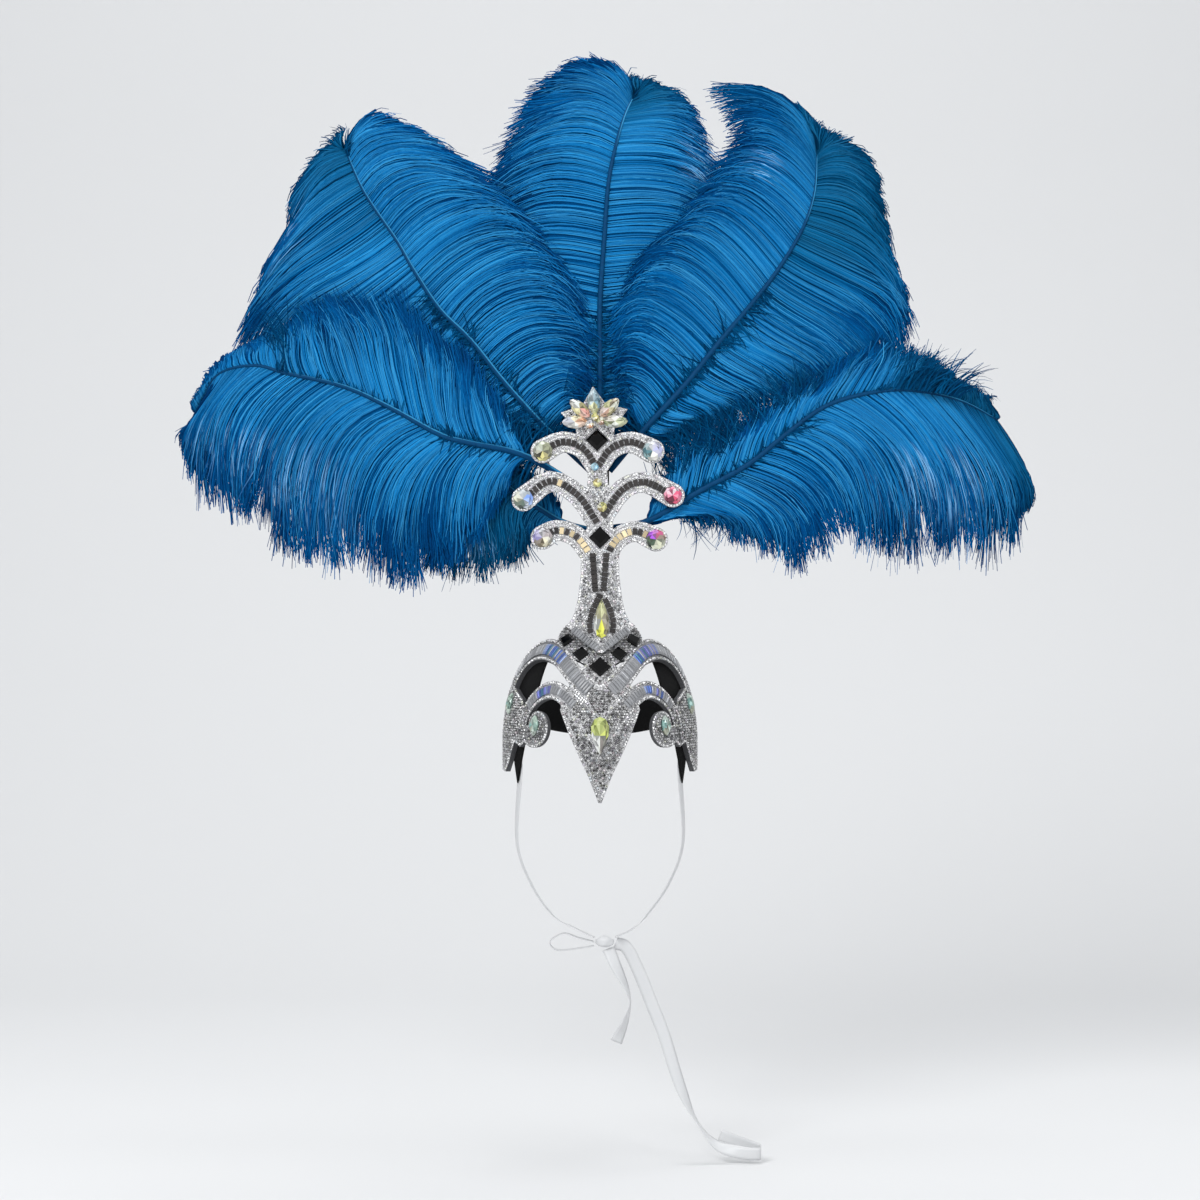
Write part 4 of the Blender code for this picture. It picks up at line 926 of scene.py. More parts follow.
def cut(kind, sides, rings, first_turn=0.0, star=False):
    """Points and faces of a cut stone of half size 1 and height 1, with its back left open."""
    points, faces = [], []
    for size, high, half_turn in rings:
        for k in range(sides):
            across, up = OUTLINES[kind](2 * math.pi * (k + 0.5 * half_turn) / sides + first_turn)
            points.append((across * size, up * size, high))
    for ring in range(len(rings) - 1):
        low, high = ring * sides, (ring + 1) * sides
        turned = rings[ring + 1][2] - rings[ring][2]
        for k in range(sides):
            after = (k + 1) % sides
            if turned == 0:
                faces.append((low + after, low + k, high + k, high + after))
            elif turned > 0:
                faces += [(low + after, low + k, high + k), (low + after, high + k, high + after)]
            else:
                faces += [(low + k, high + k, high + after), (low + after, low + k, high + after)]
    last = (len(rings) - 1) * sides
    if star:
        points.append((0.0, 0.0, rings[-1][1] * 0.80))
        centre = len(points) - 1
        faces += [(last + (k + 1) % sides, last + k, centre) for k in range(sides)]
    else:
        faces.append(tuple(last + k for k in range(sides))[::-1])
    return np.array(points), faces


class StoneSet:
    """Many stones of one look, gathered into one piece."""

    def __init__(self):
        self.points, self.faces, self.colours = [], [], []

    def add(self, template, place, right, rise, outward, half_across, half_up, height, tint):
        points, faces = template
        start = len(self.points)
        for x, y, z in points:
            beside = right * (x * half_across) + rise * (y * half_up)
            self.points.append(place + beside + outward * (z * height))
        for index, face in enumerate(faces):
            self.faces.append(tuple(start + k for k in face))
            self.colours.append((tint(index), len(face)))

    def finish(self, name, look, slot, nodes=()):
        made = mesh_object(name, self.points, self.faces, look, smooth=False)
        layer = made.data.attributes.new("facet", "FLOAT_COLOR", "CORNER")
        values = [(*colour, 1.0) for colour, corners in self.colours for _ in range(corners)]
        layer.data.foreach_set("color", np.array(values, np.float32).ravel())
        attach(made, "root")
        if nodes:
            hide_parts(*nodes)


class Field:
    """Stones laid on one surface without overlapping each other."""

    def __init__(self, surface, rng, reflection_gain=1.0):
        self.surface, self.rng, self.reflection_gain = surface, rng, reflection_gain
        self.taken = np.zeros((0, 3))

    def free(self, x, y, radius, closeness=0.93):
        if not len(self.taken):
            return True
        gap = np.hypot(self.taken[:, 0] - x, self.taken[:, 1] - y)
        return bool((gap > (self.taken[:, 2] + radius) * closeness).all())

    def take(self, x, y, radius):
        self.taken = np.vstack([self.taken, (x, y, radius)])

    def take_square(self, x, y, half):
        for dx, dy in ((0, 0), (0.5, 0), (-0.5, 0), (0, 0.5), (0, -0.5)):
            self.take(x + dx * half, y + dy * half, half * 0.48)

    def lay(self, stones, template, x, y, turn, half_across, half_up, height, tint, sink=0.0):
        """A stone at a flat point, its up turned this far from the surface's up."""
        place, right, rise, outward = local_frame(self.surface, x, y)
        across = right * math.cos(turn) + rise * math.sin(turn)
        up = rise * math.cos(turn) - right * math.sin(turn)
        stones.add(template, place - outward * sink, across, up, outward, half_across, half_up, height, tint)

    def small(self, stones, x, y, radius, closeness, reflection_tones):
        if not self.free(x, y, radius, closeness):
            return
        self.take(x, y, radius)
        self.lay(stones, SMALL, x, y, self.rng.uniform(0, math.pi), radius, radius, radius * 0.80,
                 crystal_tint_and_painted_reflection(self.rng, *(tone * self.reflection_gain for tone in reflection_tones)))

    def chain(self, stones, line, inset, radius, closed=False):
        line = offset_line(line, inset, closed)
        for x, y in spaced(line, radius * 2.06, closed)[0]:
            self.small(stones, x, y, radius, 0.80, CHAIN_REFLECTION_TONES)

    def fill(self, stones, loops, radius, edge):
        low = np.min([loop.min(axis=0) for loop in loops], axis=0)
        high = np.max([loop.max(axis=0) for loop in loops], axis=0)
        across, up = radius * 2.04, radius * 1.78
        rows = int((high[1] - low[1]) / up) + 1
        columns = int((high[0] - low[0]) / across) + 1
        spots = np.array([
            (low[0] + (i + 0.5 * (j % 2)) * across, low[1] + j * up)
            for j in range(rows) for i in range(columns)
        ])
        spots = spots + self.rng.normal(0, radius * 0.07, spots.shape)
        spots = spots[inside(loops, spots)]
        spots = spots[edge_distance(loops, spots) > edge]
        for x, y in spots:
            self.small(stones, x, y, radius * self.rng.uniform(0.86, 1.0), 0.90, FILL_REFLECTION_TONES)


# Darkest and brightest painted reflections of the stones in chains and fills, and the colours that a few of
# them have
CHAIN_REFLECTION_TONES = (0.38, 0.90)
FILL_REFLECTION_TONES = (0.08, 0.62)
BREATHS = ((1.0, 0.90, 0.93), (0.90, 0.96, 1.0), (0.97, 0.98, 0.86), (0.95, 0.90, 1.0))
SMALL = cut("round", 8, SMALL_CUT)
ROUND = cut("round", 9, STAR_CUT, star=True)
PEAR = cut("pear", 12, STAR_CUT, star=True)
NAVETTE = cut("navette", 12, STAR_CUT, star=True)
TILE = cut("tile", 4, TILE_CUT, first_turn=math.pi / 4)
BAGUETTE = cut("tile", 4, BAGUETTE_CUT, first_turn=math.pi / 4)
JET = cut("square", 4, JET_CUT)


def crystal_tint_and_painted_reflection(rng, low, high):
    """Each facet painted light or dark as a reflection, now and then with a breath of colour."""
    stone = rng.uniform(low, high)
    hue = np.ones(3)
    if rng.uniform() < 0.22:
        hue = np.array(BREATHS[rng.integers(len(BREATHS))])
    reflection_facets = np.clip(stone * rng.choice([0.15, 0.40, 0.75, 1.0, 1.25], 32), 0, 1)
    return lambda index: tuple(hue * reflection_facets[index % 32])


def gem_colour_and_reflection(rng, colours, sides):
    """A gem's colour zones in turn round its clock from its top, each a little uneven from facet to facet,
    darkened at random as painted reflection.
    """
    depth = rng.choice([0.86, 0.68, 0.48, 0.28], 96, p=(0.36, 0.30, 0.20, 0.14))

    def tint(index):
        if index < sides:
            step = index
        elif index < 5 * sides:
            step = (index - sides) % (2 * sides) // 2
        else:
            step = index - 5 * sides
        return tuple(colours[step * len(colours) // sides] * depth[index % 96])

    return tint


def baguette_tint(rng, colour):
    """Even glass with one long bevel painted much lighter as a glint."""
    tone = rng.uniform(0.85, 1.15)
    bevel_glint, bevel = rng.uniform(1.3, 3.2), 5 if rng.uniform() < 0.5 else 7
    colour = np.array(colour)
    return lambda index: tuple(np.clip(colour * (bevel_glint if index == bevel else tone), 0, 0.95))


def tile_tint(rng, colour, spread=0.35):
    tone = rng.uniform(1 - spread, 1 + spread)
    # The side and bevel faces are painted lighter and darker at random as reflections; the top face stays even
    faces = rng.uniform(0.6, 1.6, 16)
    faces[8:] = rng.uniform(0.9, 1.1)
    return lambda index: tuple(np.clip(np.array(colour) * tone * faces[index % 16], 0, 1))


def zones(*hundredths):
    """Rows of red, green and blue, from hundredths."""
    return np.array(hundredths) / 100


# Colour zones of the aurora stones, clockwise from the top of each: partly their own aurora colours and
# partly painted reflection, the near-black zones mirrored shade and the near-white ones mirrored light
GEM_LOWER_LEFT = zones(
    (62, 58, 60), (56, 50, 50), (80, 78, 66), (88, 82, 60), (30, 25, 16), (26, 22, 18), (50, 46, 86),
    (66, 62, 88), (72, 72, 76),
)
GEM_LOWER_RIGHT = zones(
    (82, 16, 34), (58, 44, 36), (52, 54, 42), (86, 88, 64), (84, 86, 66), (7, 11, 7), (10, 14, 9),
    (50, 12, 86), (72, 26, 74),
)
GEM_MIDDLE_LEFT = zones(
    (50, 56, 60), (24, 40, 92), (40, 56, 96), (74, 82, 90), (12, 17, 14), (18, 23, 18), (88, 88, 66),
    (78, 78, 66), (60, 64, 66),
)
GEM_MIDDLE_RIGHT = zones(
    (95, 76, 82), (90, 14, 26), (92, 30, 42), (86, 10, 20), (12, 2, 4), (18, 3, 6), (90, 32, 44),
    (96, 62, 72), (90, 20, 34),
)
GEM_UPPER_LEFT = zones(
    (40, 42, 28), (36, 38, 25), (42, 42, 30), (50, 46, 22), (92, 84, 34), (10, 10, 6), (50, 50, 40),
    (62, 66, 56), (50, 54, 42),
)
GEM_UPPER_RIGHT = zones(
    (60, 60, 74), (56, 58, 88), (66, 66, 84), (94, 94, 86), (90, 90, 84), (24, 40, 42), (10, 24, 28),
    (46, 58, 60), (70, 72, 74),
)
GEM_BLUE = zones((30, 62, 84), (50, 78, 90), (36, 56, 66))
GEM_YELLOW = zones((86, 80, 34), (42, 34, 14), (90, 88, 66), (62, 62, 22))
PEAR_STEM = zones(
    (66, 68, 36), (60, 60, 34), (50, 46, 32), (54, 50, 40), (34, 30, 18), (90, 92, 12), (84, 86, 10),
    (86, 90, 84), (90, 92, 88), (58, 56, 36), (62, 62, 32), (70, 72, 44),
)
PEAR_BROW = zones(
    (86, 88, 82), (90, 92, 90), (88, 90, 86), (58, 66, 22), (50, 58, 16), (56, 62, 24), (48, 56, 18),
    (58, 64, 22), (66, 74, 18), (30, 30, 26), (24, 22, 20), (40, 38, 34),
)
NAVETTE_TEAL = zones((40, 52, 44), (26, 40, 34), (60, 70, 62), (34, 36, 28), (24, 42, 38), (52, 62, 56))
# Star petals from the right round to the left
PETALS = (
    (-89, zones((62, 66, 42), (80, 84, 76), (42, 46, 26), (74, 70, 60), (86, 86, 80), (52, 58, 36))),
    (-46, zones((84, 86, 72), (44, 40, 22), (58, 36, 26), (86, 72, 66), (56, 56, 30), (34, 28, 18))),
    (3, zones((36, 50, 56), (24, 40, 48), (66, 68, 36), (82, 84, 52), (50, 62, 64), (62, 74, 78))),
    (49, zones((80, 84, 80), (40, 36, 18), (90, 42, 36), (92, 60, 50), (88, 80, 44), (66, 66, 60))),
    (91, zones((74, 76, 84), (92, 84, 58), (94, 50, 30), (90, 66, 52), (86, 86, 80), (50, 50, 52))),
)
PETAL_REACH = 0.01653
# The three stones in the middle of the star: x, y, size and colours
STAR_MIDDLE = (
    (-0.0044, -0.0020, 0.0038, PETALS[4][1]), (0.0047, 0.0008, 0.0038, PETALS[1][1]),
    (0.0, 0.0037, 0.0034, GEM_YELLOW),
)
MIRROR_DARK = (0.022, 0.019, 0.018)
MIRROR_GOLD = (0.62, 0.50, 0.30)
CLEAR_TILE = (0.200, 0.205, 0.215)
BLUE_TILES = ((0.05, 0.09, 0.26), (0.10, 0.11, 0.30), (0.04, 0.12, 0.18), (0.14, 0.18, 0.30))


def tile_row(field, stones, line, pitch, half_across, half_along, colour_at, height=0.0016, skip=0.78,
             shape=TILE, tint=tile_tint):
    """Tiles one after another down a flat line, each square to it."""
    places, directions = spaced(np.array(line), pitch)
    for k, ((x, y), (dx, dy)) in enumerate(zip(places, directions)):
        radius = min(half_across, half_along)
        if not field.free(x, y, radius, skip):
            continue
        turn = math.atan2(-dx, dy)
        far = max(half_across - radius, 0)
        for t in (-1, 0, 1) if far > radius * 0.4 else (0,):
            field.take(x + math.cos(turn) * far * t, y + math.sin(turn) * far * t, radius * 0.92)
        field.lay(stones, shape, x, y, turn, half_across, half_along, height,
                  tint(field.rng, colour_at(k / max(len(places) - 1, 1), field.rng)))


def stem_place(out, up):
    return out * ARM_REACH, STEM_FOOT_HEIGHT + up * STEM_HEIGHT


def gem(field, stones, template, x, y, half_across, half_up, height, colours, turn=0.0):
    field.take(x, y, min(half_across, half_up) * 0.98)
    if half_up > half_across * 1.3:
        for t in (-0.55, 0.55):
            along = half_up * t
            field.take(x - math.sin(turn) * along, y + math.cos(turn) * along, half_across * 0.6)
    sides = 9 if template is ROUND else 12
    tint = gem_colour_and_reflection(field.rng, colours, sides)
    field.lay(stones, template, x, y, turn, half_across, half_up, height, tint, -GAP)


ARMS = {
    "lower_left": [(-0.08, 0.345), (-0.326, 0.431), (-0.597, 0.4535), (-0.790, 0.4275)],
    "lower_right": [(0.06, 0.345), (0.236, 0.4216), (0.486, 0.450), (0.772, 0.420)],
    "middle_left": [(-0.04, 0.483), (-0.306, 0.584), (-0.680, 0.6357), (-1.055, 0.569)],
    "middle_right": [(0.04, 0.505), (0.306, 0.604), (0.625, 0.632), (1.000, 0.5836)],
    "upper_left": [(-0.05, 0.690), (-0.236, 0.758), (-0.514, 0.781), (-0.790, 0.747)],
    "upper_right": [(-0.02, 0.695), (0.153, 0.7565), (0.430, 0.781), (0.722, 0.747)],
}
ARM_GEM_COLOURS = (
    GEM_LOWER_LEFT, GEM_LOWER_RIGHT, GEM_MIDDLE_LEFT, GEM_MIDDLE_RIGHT, GEM_UPPER_LEFT, GEM_UPPER_RIGHT,
)
COLUMN_GEMS = (
    (-0.07, 0.69, 0.0034, GEM_BLUE), (-0.035, 0.63, 0.0038, GEM_YELLOW), (0.03, 0.54, 0.0042, GEM_YELLOW),
)
SQUARES = ((0.0, 0.4275), (-0.04, 0.788))
SQUARE_HALF = 0.0092
# Half width, half height and thickness of each kind of single stone
STEM_PEAR_SIZE = (0.0072, 0.0160, 0.0050)
BROW_PEAR_SIZE = (0.0084, 0.0156, 0.0050)
PETAL_SIZE = (0.0054, 0.0106, 0.0042)
ARM_GEM_SIZE, RED_GEM_SIZE, ARM_GEM_HEIGHT = 0.0084, 0.0076, 0.0045
COLUMN_GEM_HEIGHT, STAR_GEM_HEIGHT, SIDE_GEM_HEIGHT = 0.0028, 0.0040, 0.0040
# Pitch, half width and half length of the tiles in each kind of row
HALO_ROW = (0.0044, 0.0022, 0.0019)
VEE_ROW = (0.0038, 0.0024, 0.0017)
FOOT_ROW = (0.0024, 0.0030, 0.0011)
ARM_ROW = (0.0043, 0.0027, 0.00178)
# Lines of dark tiles that meet over the pear and of clear ones at the foot, as (x, height) in metres
VEE_TILES = (((-0.0060, 0.1570), (-0.0040, 0.1285)), ((0.0052, 0.1570), (0.0030, 0.1290)))
FOOT_TILES = (((-0.0215, 0.0955), (-0.0015, 0.0795)), ((0.0225, 0.0955), (0.0025, 0.0795)))


def dress_plaque(crystal, gems, tiles, rng):
    surface = PlaqueSurface()
    # The plaque's stones have their painted reflections made 1.85 times brighter
    field = Field(surface, rng, 1.85)
    loops = [rounded_loop(loop) for loop in front_loops("stem_plaque", surface)]
    for colours, rows in zip(ARM_GEM_COLOURS, ARMS.values()):
        x, y = stem_place(*rows[-1])
        size = RED_GEM_SIZE if colours is GEM_MIDDLE_RIGHT else ARM_GEM_SIZE
        gem(field, gems, ROUND, x, y, size, size, ARM_GEM_HEIGHT, colours)
    for out, up, size, colours in COLUMN_GEMS:
        x, y = stem_place(out, up)
        gem(field, gems, ROUND, x, y, size, size, COLUMN_GEM_HEIGHT, colours, rng.uniform(0, 6))
    for out, up in SQUARES:
        x, y = stem_place(out, up)
        field.take_square(x, y, SQUARE_HALF)
        far = 1.28 * SQUARE_HALF
        ring = [(x + a * far, y + b * far) for a, b in ((0, 1), (1, 0), (0, -1), (-1, 0), (0, 1))]
        field.chain(crystal, np.array(ring), 0, 0.00085)
    x, y = stem_place(0.02, 0.127)
    gem(field, gems, PEAR, x, y, *STEM_PEAR_SIZE, PEAR_STEM)
    halo = [OUTLINES["pear"](t) for t in np.linspace(-2.15, 2.15, 30)]
    halo = [(x + a * 0.0108, y + 0.0008 + b * 0.0196) for a, b in halo]
    tile_row(field, tiles, halo, *HALO_ROW, lambda t, r: MIRROR_DARK)
    for line in VEE_TILES:
        tile_row(field, tiles, line, *VEE_ROW, lambda t, r: MIRROR_DARK)
    for line in FOOT_TILES:
        tile_row(field, tiles, line, *FOOT_ROW, lambda t, r: CLEAR_TILE, shape=BAGUETTE, tint=baguette_tint)
    for name, rows in ARMS.items():
        line = spline([stem_place(*row) for row in rows], np.linspace(0.02, 0.90, 30))
        low = name.startswith("lower")

        def colour_at(t, r, low=low):
            golden = (low and r.uniform() < 0.55) or r.uniform() < 0.06
            return MIRROR_GOLD if golden else MIRROR_DARK

        tile_row(field, tiles, line, *ARM_ROW, colour_at)
    for loop in loops:
        field.chain(crystal, loop, EDGE_INSET, EDGE_STONE, closed=True)
    for rows in ARMS.values():
        line = spline([stem_place(*row) for row in rows], np.linspace(0.0, 0.90, 30))
        for inset in (0.0040, -0.0040):
            field.chain(crystal, line, inset, 0.0008)
    field.fill(crystal, loops, 0.00105, 0.0011)


def dress_star(crystal, gems, rng):
    surface = PlaqueSurface(0.0033)
    field = Field(surface, rng)
    loops = front_loops("star_crown", surface)
    x, y = stem_place(-0.07, 0.855)
    for degrees, colours in PETALS:
        turn = math.radians(degrees)
        across, up = x - PETAL_REACH * math.sin(turn), y + PETAL_REACH * math.cos(turn)
        gem(field, gems, NAVETTE, across, up, *PETAL_SIZE, colours, turn)
    for dx, dy, size, colours in STAR_MIDDLE:
        gem(field, gems, ROUND, x + dx, y + dy, size, size, STAR_GEM_HEIGHT, colours, 0.3)
    for loop in loops:
        field.chain(crystal, loop, 0.0012, 0.00095, closed=True)
    field.fill(crystal, loops, 0.00095, 0.0009)


# Bands of the brow piece, right side: degrees, height share, half width in metres
BROW_BANDS = {
    "upper": [
        (4, 0.42, 0.010), (13, 0.53, 0.0090), (24, 0.665, 0.0082), (35, 0.755, 0.0080),
        (48, 0.790, 0.0082), (61, 0.765, 0.0085), (72, 0.680, 0.0095), (79, 0.54, 0.0110),
        (81, 0.38, 0.0120),
    ],
    "lower": [
        (2, 0.12, 0.010), (13, 0.30, 0.0090), (23, 0.42, 0.0075), (32, 0.462, 0.0070),
        (41, 0.420, 0.0065), (48, 0.325, 0.0060), (52, 0.190, 0.0060), (54, 0.060, 0.0070),
    ],
}
BROW_SQUARES = (
    (-30.0, 0.862, 0.0072), (-14.5, 0.752, 0.0072), (0.0, 0.648, 0.0092), (14.5, 0.752, 0.0072),
    (30.0, 0.862, 0.0072),
)
# Where a band's tiles start and end, and where they turn blue and back, as shares of its length
BAND_TILES = {"upper": (0.06, 0.86, 0.30, 0.55), "lower": (0.20, 0.72, 0.40, 0.62)}
BAND_PLACES = 60


def flat_on_head(degrees, share):
    return math.radians(degrees) * ARC_RADIUS, share * HEADPIECE_RISE


def band_line(side, rows):
    """Flat x, y and half width down a band of the brow piece."""
    places = [(*flat_on_head(side * degrees, share), half) for degrees, share, half in rows]
    return spline(places, np.linspace(0, 1, BAND_PLACES))


def dress_headpiece(crystal, gems, tiles, jets, rng):
    surface = HeadSurface()
    field = Field(surface, rng)
    loops = [rounded_loop(loop) for loop in front_loops("headpiece", surface)]
    for degrees, share, half in BROW_SQUARES:
        x, y = flat_on_head(degrees, share)
        field.take_square(x, y, half)
        field.lay(jets, JET, x, y, 0.0, half, half, 0.0032, lambda index: (0.0012, 0.0012, 0.0014), 0.0006)
    x, y = flat_on_head(0, 0.09)
    gem(field, gems, PEAR, x, y, *BROW_PEAR_SIZE, PEAR_BROW, math.pi)
    for side in (-1, 1):
        for degrees, share, half in ((41.0, 0.165, 0.0085), (71.0, 0.33, 0.0090)):
            x, y = flat_on_head(side * degrees, share)
            gem(field, gems, NAVETTE, x, y, 0.0045, half, SIDE_GEM_HEIGHT, NAVETTE_TEAL)
        for name, rows in BROW_BANDS.items():
            first, last, blue_from, blue_to = BAND_TILES[name]
            steps = BAND_PLACES - 1
            part = band_line(side, rows)[int(first * steps):int(last * steps) + 1]
            half = float(part[:, 2].mean()) - 0.0036

            def colour_at(t, r, first=first, last=last, blue_from=blue_from, blue_to=blue_to):
                share = first + t * (last - first)
                if blue_from < share < blue_to and r.uniform() < 0.8:
                    return BLUE_TILES[r.integers(len(BLUE_TILES))]
                return CLEAR_TILE

            tile_row(
                field, tiles, part[:, :2], 0.0027, half, 0.00122, colour_at, height=0.0014, skip=0.62,
                shape=BAGUETTE, tint=baguette_tint,
            )
    for loop in loops:
        field.chain(crystal, loop, EDGE_INSET, EDGE_STONE, closed=True)
    for side in (-1, 1):
        for rows in BROW_BANDS.values():
            line = band_line(side, rows)
            for way in (-1, 1):
                field.chain(crystal, line[:, :2], way * (line[:, 2:] - EDGE_INSET), EDGE_STONE)
    field.fill(crystal, loops, 0.00115, 0.0011)


def jewellery():
    rng = np.random.default_rng(5)
    crystal, gems, tiles, jets = StoneSet(), StoneSet(), StoneSet(), StoneSet()
    dress_plaque(crystal, gems, tiles, rng)
    dress_star(crystal, gems, rng)
    dress_headpiece(crystal, gems, tiles, jets, rng)
    crystal.finish("rhinestones", stone_material("rhinestone", 0.20, 0.15), "crystal")
    tiles.finish("mirror_tiles", stone_material("mirror_tile", 0.34, 0.0, 0.0), "mirror_tile")
    names = [f"arm_gem_{i}" for i in range(1, 7)] + [f"column_gem_{i}" for i in range(1, 4)]
    names += [f"star_gem_{i}" for i in range(1, 6)] + ["stem_pear", "brow_pear"]
    names += [f"{kind}_gem_{side}" for kind in ("volute", "side") for side in ("left", "right")]
    gems.finish("aurora_gems", stone_material("aurora_gem", 0.10, 0.10, 0.4), "tinted_crystal", names)
    base = foam_material()
    for name in ("headpiece", "stem_plaque", "star_crown"):
        dress_node(name, base)
    jet = jet_material()
    jets.finish("jet_squares", jet, "black_stone", [f"brow_square_{i}" for i in range(1, 6)])
    for name in ("stem_square_lower", "stem_square_upper"):
        dress_node(name, jet)


def dress_node(name, look):
    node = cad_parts[name]
    node.data.materials.clear()
    node.data.materials.append(look)


# Cloth


def ribbon(name, rows, look, steps=12, columns=5):
    """Rows of x, y, z, and the heading and lift of the ribbon's width, as in the part."""
    line = spline(rows, np.linspace(0, 1, steps * (len(rows) - 1) + 1))
    places = line[:, :3]
    heading, lift = np.radians(line[:, 3]), np.radians(line[:, 4])
    across = np.stack([np.cos(lift) * np.cos(heading), np.cos(lift) * np.sin(heading), np.sin(lift)], axis=1)
    ahead = unit(np.gradient(places, axis=0))
    across = unit(across - ahead * (across * ahead).sum(axis=1, keepdims=True)) * RIBBON_WIDTH / 2
    facing = unit(np.cross(ahead, across))
    shares = np.linspace(-1, 1, columns)[:, None]
    grid = places[:, None] + across[:, None] * shares + facing[:, None] * SATIN_CROWN * (1 - shares ** 2)
    made = sheet_wall(name + "_satin", grid, SATIN_WALL, look)
    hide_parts(name)
    length = float(np.linalg.norm(np.diff(places, axis=0), axis=1).sum())


TIE_HEIGHTS = (0.004, -0.012, -0.028)
CHEEK_ROUTE = ((0.89, -0.41, -0.50), (0.74, -0.48, -0.71), (0.50, -0.55, -0.87))
TIE_END = ((0.014, 0.003, 0.010), (0.0, 0.001, 0.0035))
SHORT_TAIL = (
    (0.08, -0.05, -0.17, 20, 0), (0.205, -0.11, -0.45, 80, 0), (0.175, -0.13, -0.63, 60, 0),
    (0.093, -0.13, -0.815, 15, 0),
)
LONG_TAIL = (
    (0.184, 0.04, -0.06, 0, 50), (0.292, 0.04, -0.275, 0, 10), (0.392, 0.02, -0.525, 0, 0),
    (0.49, 0.00, -0.77, 10, 0), (0.624, -0.04, -1.19, 30, 0), (0.757, -0.09, -1.47, 80, 0),
    (0.923, -0.14, -1.66, 90, 40), (1.13, -0.19, -1.72, 90, 80), (1.26, -0.18, -1.73, 90, 88),
    (1.285, -0.13, -1.725, 90, 88), (1.24, -0.08, -1.70, 90, 88), (0.95, -0.05, -1.60, 90, 88),
)
BOW_LOOP = (
    (-0.22, -0.02, 0.035), (-0.34, -0.02, 0.070), (-0.455, -0.02, 0.005), (-0.40, -0.02, -0.065),
    (-0.22, -0.01, -0.055),
)
RIBBON_THICKNESS = 0.0010
TAB_ANGLE = 63.0
TAB_HALF_ANGLE = 10.0
TAB_THICKNESS = 0.0012
TAB_TOP_HEIGHT = 0.010
TAB_MIDDLE_HALF = 0.0215
TAB_END_HALF = 0.0030
BAND_WIDTH = 0.034
BAND_THICKNESS = 0.0015
BAND_FRONT_ANGLE = 47.0
BAND_FRONT_HEIGHT = 0.052
BAND_BACK_HEIGHT = 0.018


def tied_knot(look):
    """A pulled knot: a soft bundle with folds that run round it on the slant."""
    across, round_it = 28, 28
    points = []
    for i in range(across + 1):
        t = -1 + 2 * i / across
        girth = max(1 - abs(t) ** 3.2, 0.0) ** 0.5 * (0.86 + 0.14 * math.cos(math.pi * t))
        for k in range(round_it):
            turn = 2 * math.pi * k / round_it
            fold = 1 - 0.10 * (0.5 + 0.5 * math.cos(3 * turn + 4.5 * t))
            flat = (abs(math.cos(turn)) ** 3.5 + abs(math.sin(turn)) ** 3.5) ** (-1 / 3.5)
            reach = max(girth, 0.04) * fold * flat
            spot = (t, math.cos(turn) * reach, math.sin(turn) * reach)
            points.append(KNOT + Vector([share * size / 2 for share, size in zip(spot, KNOT_SIZE)]))
    made = mesh_object("ribbon_knot_satin", points, ring_faces(across + 1, round_it), look)
    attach(made, "root")
    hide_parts("ribbon_knot")
    return made


def ribbons():
    satin = satin_material()
    knot = tied_knot(satin)
    chord_sag = (RIBBON_WIDTH / 2) ** 2 / (2 * HEAD_HALF_WIDTH)
    inside_tab = 3 * GAP + TAB_THICKNESS + RIBBON_THICKNESS / 2 + chord_sag
    turn = math.radians(TAB_ANGLE)
    heading = math.degrees(math.atan2(HEAD_HALF_DEPTH * math.sin(turn), HEAD_HALF_WIDTH * math.cos(turn)))
    reach = KNOT_SIZE[0] / 2 + GAP + RIBBON_THICKNESS / 2
    for side, word in ((-1, "left"), (1, "right")):
        rows = [(*head_point(side * TAB_ANGLE, z, -inside_tab), side * heading, 0) for z in TIE_HEIGHTS]
        for x, y, z in CHEEK_ROUTE:
            rows.append((side * x * HEAD_HALF_WIDTH, y * HEAD_HALF_DEPTH, z * CHIN_DROP, side * 75, 0))
        for out, back, up in TIE_END:
            rows.append((KNOT.x + side * (reach + out), KNOT.y + back, KNOT.z + up, side * 90, 0))
        ribbon(f"chin_ribbon_{word}", rows, satin)
    under = KNOT_SIZE[2] / 2 + GAP + RIBBON_THICKNESS / 2
    starts = {
        "ribbon_tail_short": (SHORT_TAIL, (KNOT.x + 0.003, KNOT.y, KNOT.z - under, 0, 0)),
        "ribbon_tail_long": (LONG_TAIL, (KNOT.x + reach, KNOT.y + 0.002, KNOT.z - 0.0015, 0, 80)),
    }
    for name, (table, first) in starts.items():
        rows = [first] + [(*(KNOT + Vector(row[:3]) * TAIL_SCALE), *row[3:]) for row in table]
        ribbon(name, rows, satin)
    start = KNOT.x - reach - RIBBON_THICKNESS / 4
    loop = [(*(KNOT + Vector(row) * TAIL_SCALE), 90, 0) for row in BOW_LOOP]
    loop = [(start, KNOT.y, KNOT.z, 90, 0), *loop, (start, KNOT.y, KNOT.z - 0.0035, 90, 0)]
    ribbon("ribbon_loop", loop, satin)


def strip_on_head(name, look, thickness, degrees, middle, half, rows=7):
    """A wall that hugs the inner face of the brow piece; gives the piece, its length and its area."""
    depth = -GAP - thickness / 2
    centres = [head_point(turn, middle(turn), depth) for turn in degrees]
    halves = [half(turn) for turn in degrees]
    grid = np.array([
        [head_point(turn, middle(turn) + wide * k, depth) for k in np.linspace(-1, 1, rows)]
        for turn, wide in zip(degrees, halves)
    ])
    made = sheet_wall(name, grid, thickness, look)
    steps = [(b - a).xy.length for a, b in zip(centres, centres[1:])]
    area = sum(step * (a + b) for step, a, b in zip(steps, halves, halves[1:]))
    return made, sum(steps), area


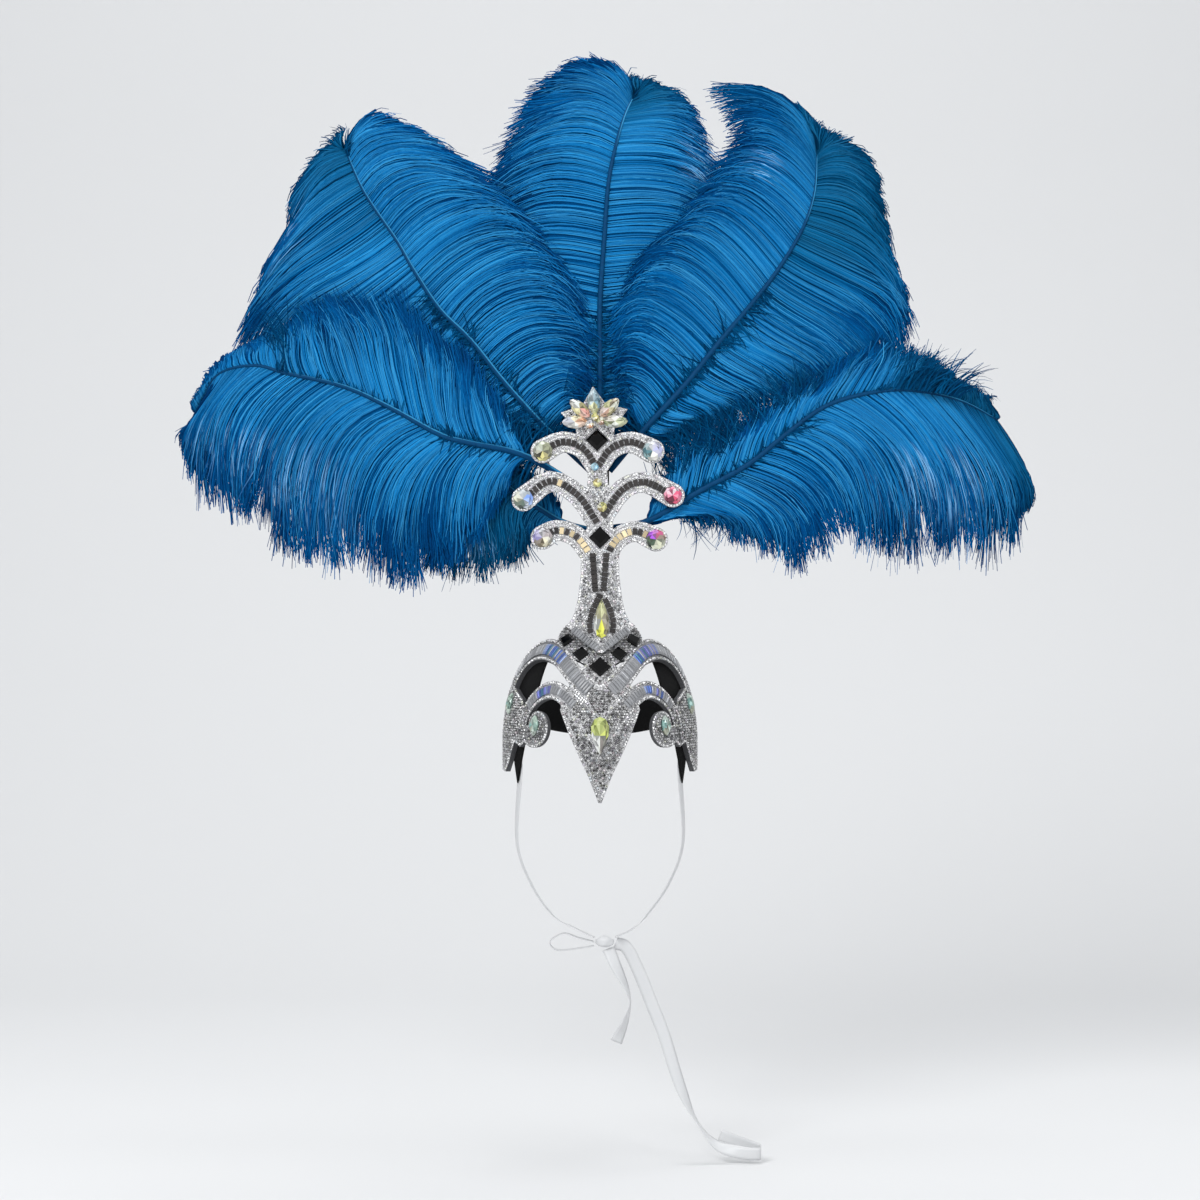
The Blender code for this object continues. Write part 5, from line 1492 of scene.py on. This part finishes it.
def band_and_tabs():
    elastic = woven_material("black_elastic", (0.002, 0.002, 0.002), (0.014, 0.014, 0.015), 420.0, 0.0006)
    felt = woven_material("black_fabric", (0.002, 0.002, 0.002), (0.010, 0.010, 0.011), 800.0, 0.0003, 0.9)
    length = 360 - 2 * BAND_FRONT_ANGLE

    def band_middle(turn):
        back = (1 - math.cos(math.radians(360 * (turn - BAND_FRONT_ANGLE) / length))) / 2
        return BAND_FRONT_HEIGHT + (BAND_BACK_HEIGHT - BAND_FRONT_HEIGHT) * back

    degrees = np.linspace(BAND_FRONT_ANGLE, BAND_FRONT_ANGLE + length, 110)
    band, reach, _ = strip_on_head(
        "head_band_elastic", elastic, BAND_THICKNESS, degrees, band_middle, lambda _: BAND_WIDTH / 2
    )
    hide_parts("head_band")

    def tab_half(turn):
        share = abs(abs(turn) - TAB_ANGLE) / TAB_HALF_ANGLE
        return TAB_END_HALF + (TAB_MIDDLE_HALF - TAB_END_HALF) * max(1 - share, 0)

    for side, word in ((-1, "left"), (1, "right")):
        degrees = side * np.linspace(TAB_ANGLE - TAB_HALF_ANGLE, TAB_ANGLE + TAB_HALF_ANGLE, 17)
        tab, reach, area = strip_on_head(
            f"ribbon_tab_{word}_cloth", felt, TAB_THICKNESS, degrees,
            lambda turn: TAB_TOP_HEIGHT - tab_half(turn), tab_half,
        )
        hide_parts(f"ribbon_tab_{word}")
    dress_node("plume_holder", felt)


# Stage


def stage():
    turns = np.linspace(0, math.pi / 2, 13)
    back, radius, side = 2.2, 1.2, 6.0
    profile = [(-side, FLOOR_HEIGHT), (back - radius, FLOOR_HEIGHT)]
    for turn in turns[1:]:
        profile.append((back - radius + radius * math.sin(turn), FLOOR_HEIGHT + radius * (1 - math.cos(turn))))
    profile.append((back, side))
    points = [(x, y, z) for y, z in profile for x in (-side, side)]
    faces = [(2 * i, 2 * i + 1, 2 * i + 3, 2 * i + 2) for i in range(len(profile) - 1)]
    look = Look("pale_studio", Roughness=0.9, Base_Color=(0.66, 0.665, 0.67)).made
    mesh_object("floor", points, faces, look)
    world = bpy.data.worlds.new("studio")
    bpy.context.scene.world = world
    world.use_nodes = True
    sky = world.node_tree.nodes["Background"].inputs
    sky["Color"].default_value = (0.95, 0.97, 1.0, 1)
    sky["Strength"].default_value = 0.66
    for name, place, size, power in LIGHTS:
        light = bpy.data.lights.new(name, "AREA")
        light.shape, light.size, light.energy = "DISK", size, power
        lamp = bpy.data.objects.new(name, light)
        bpy.context.scene.collection.objects.link(lamp)
        lamp.location = place
        lamp.rotation_euler = (LIT_POINT - Vector(place)).to_track_quat("-Z", "Y").to_euler()


def camera():
    lens = bpy.data.cameras.new("camera")
    lens.sensor_width = SENSOR
    lens.lens = SENSOR * (CAMERA_DISTANCE + VIEW_DEPTH) / VIEW_WIDTH
    seen = bpy.data.objects.new("camera", lens)
    bpy.context.scene.collection.objects.link(seen)
    seen.location = (0, -CAMERA_DISTANCE, CAMERA_HEIGHT)
    seen.rotation_euler = (math.pi / 2, 0, 0)
    bpy.context.scene.camera = seen


bpy.context.scene.view_settings.view_transform = "Standard"
camera()
stage()
plumes()
jewellery()
ribbons()
band_and_tabs()
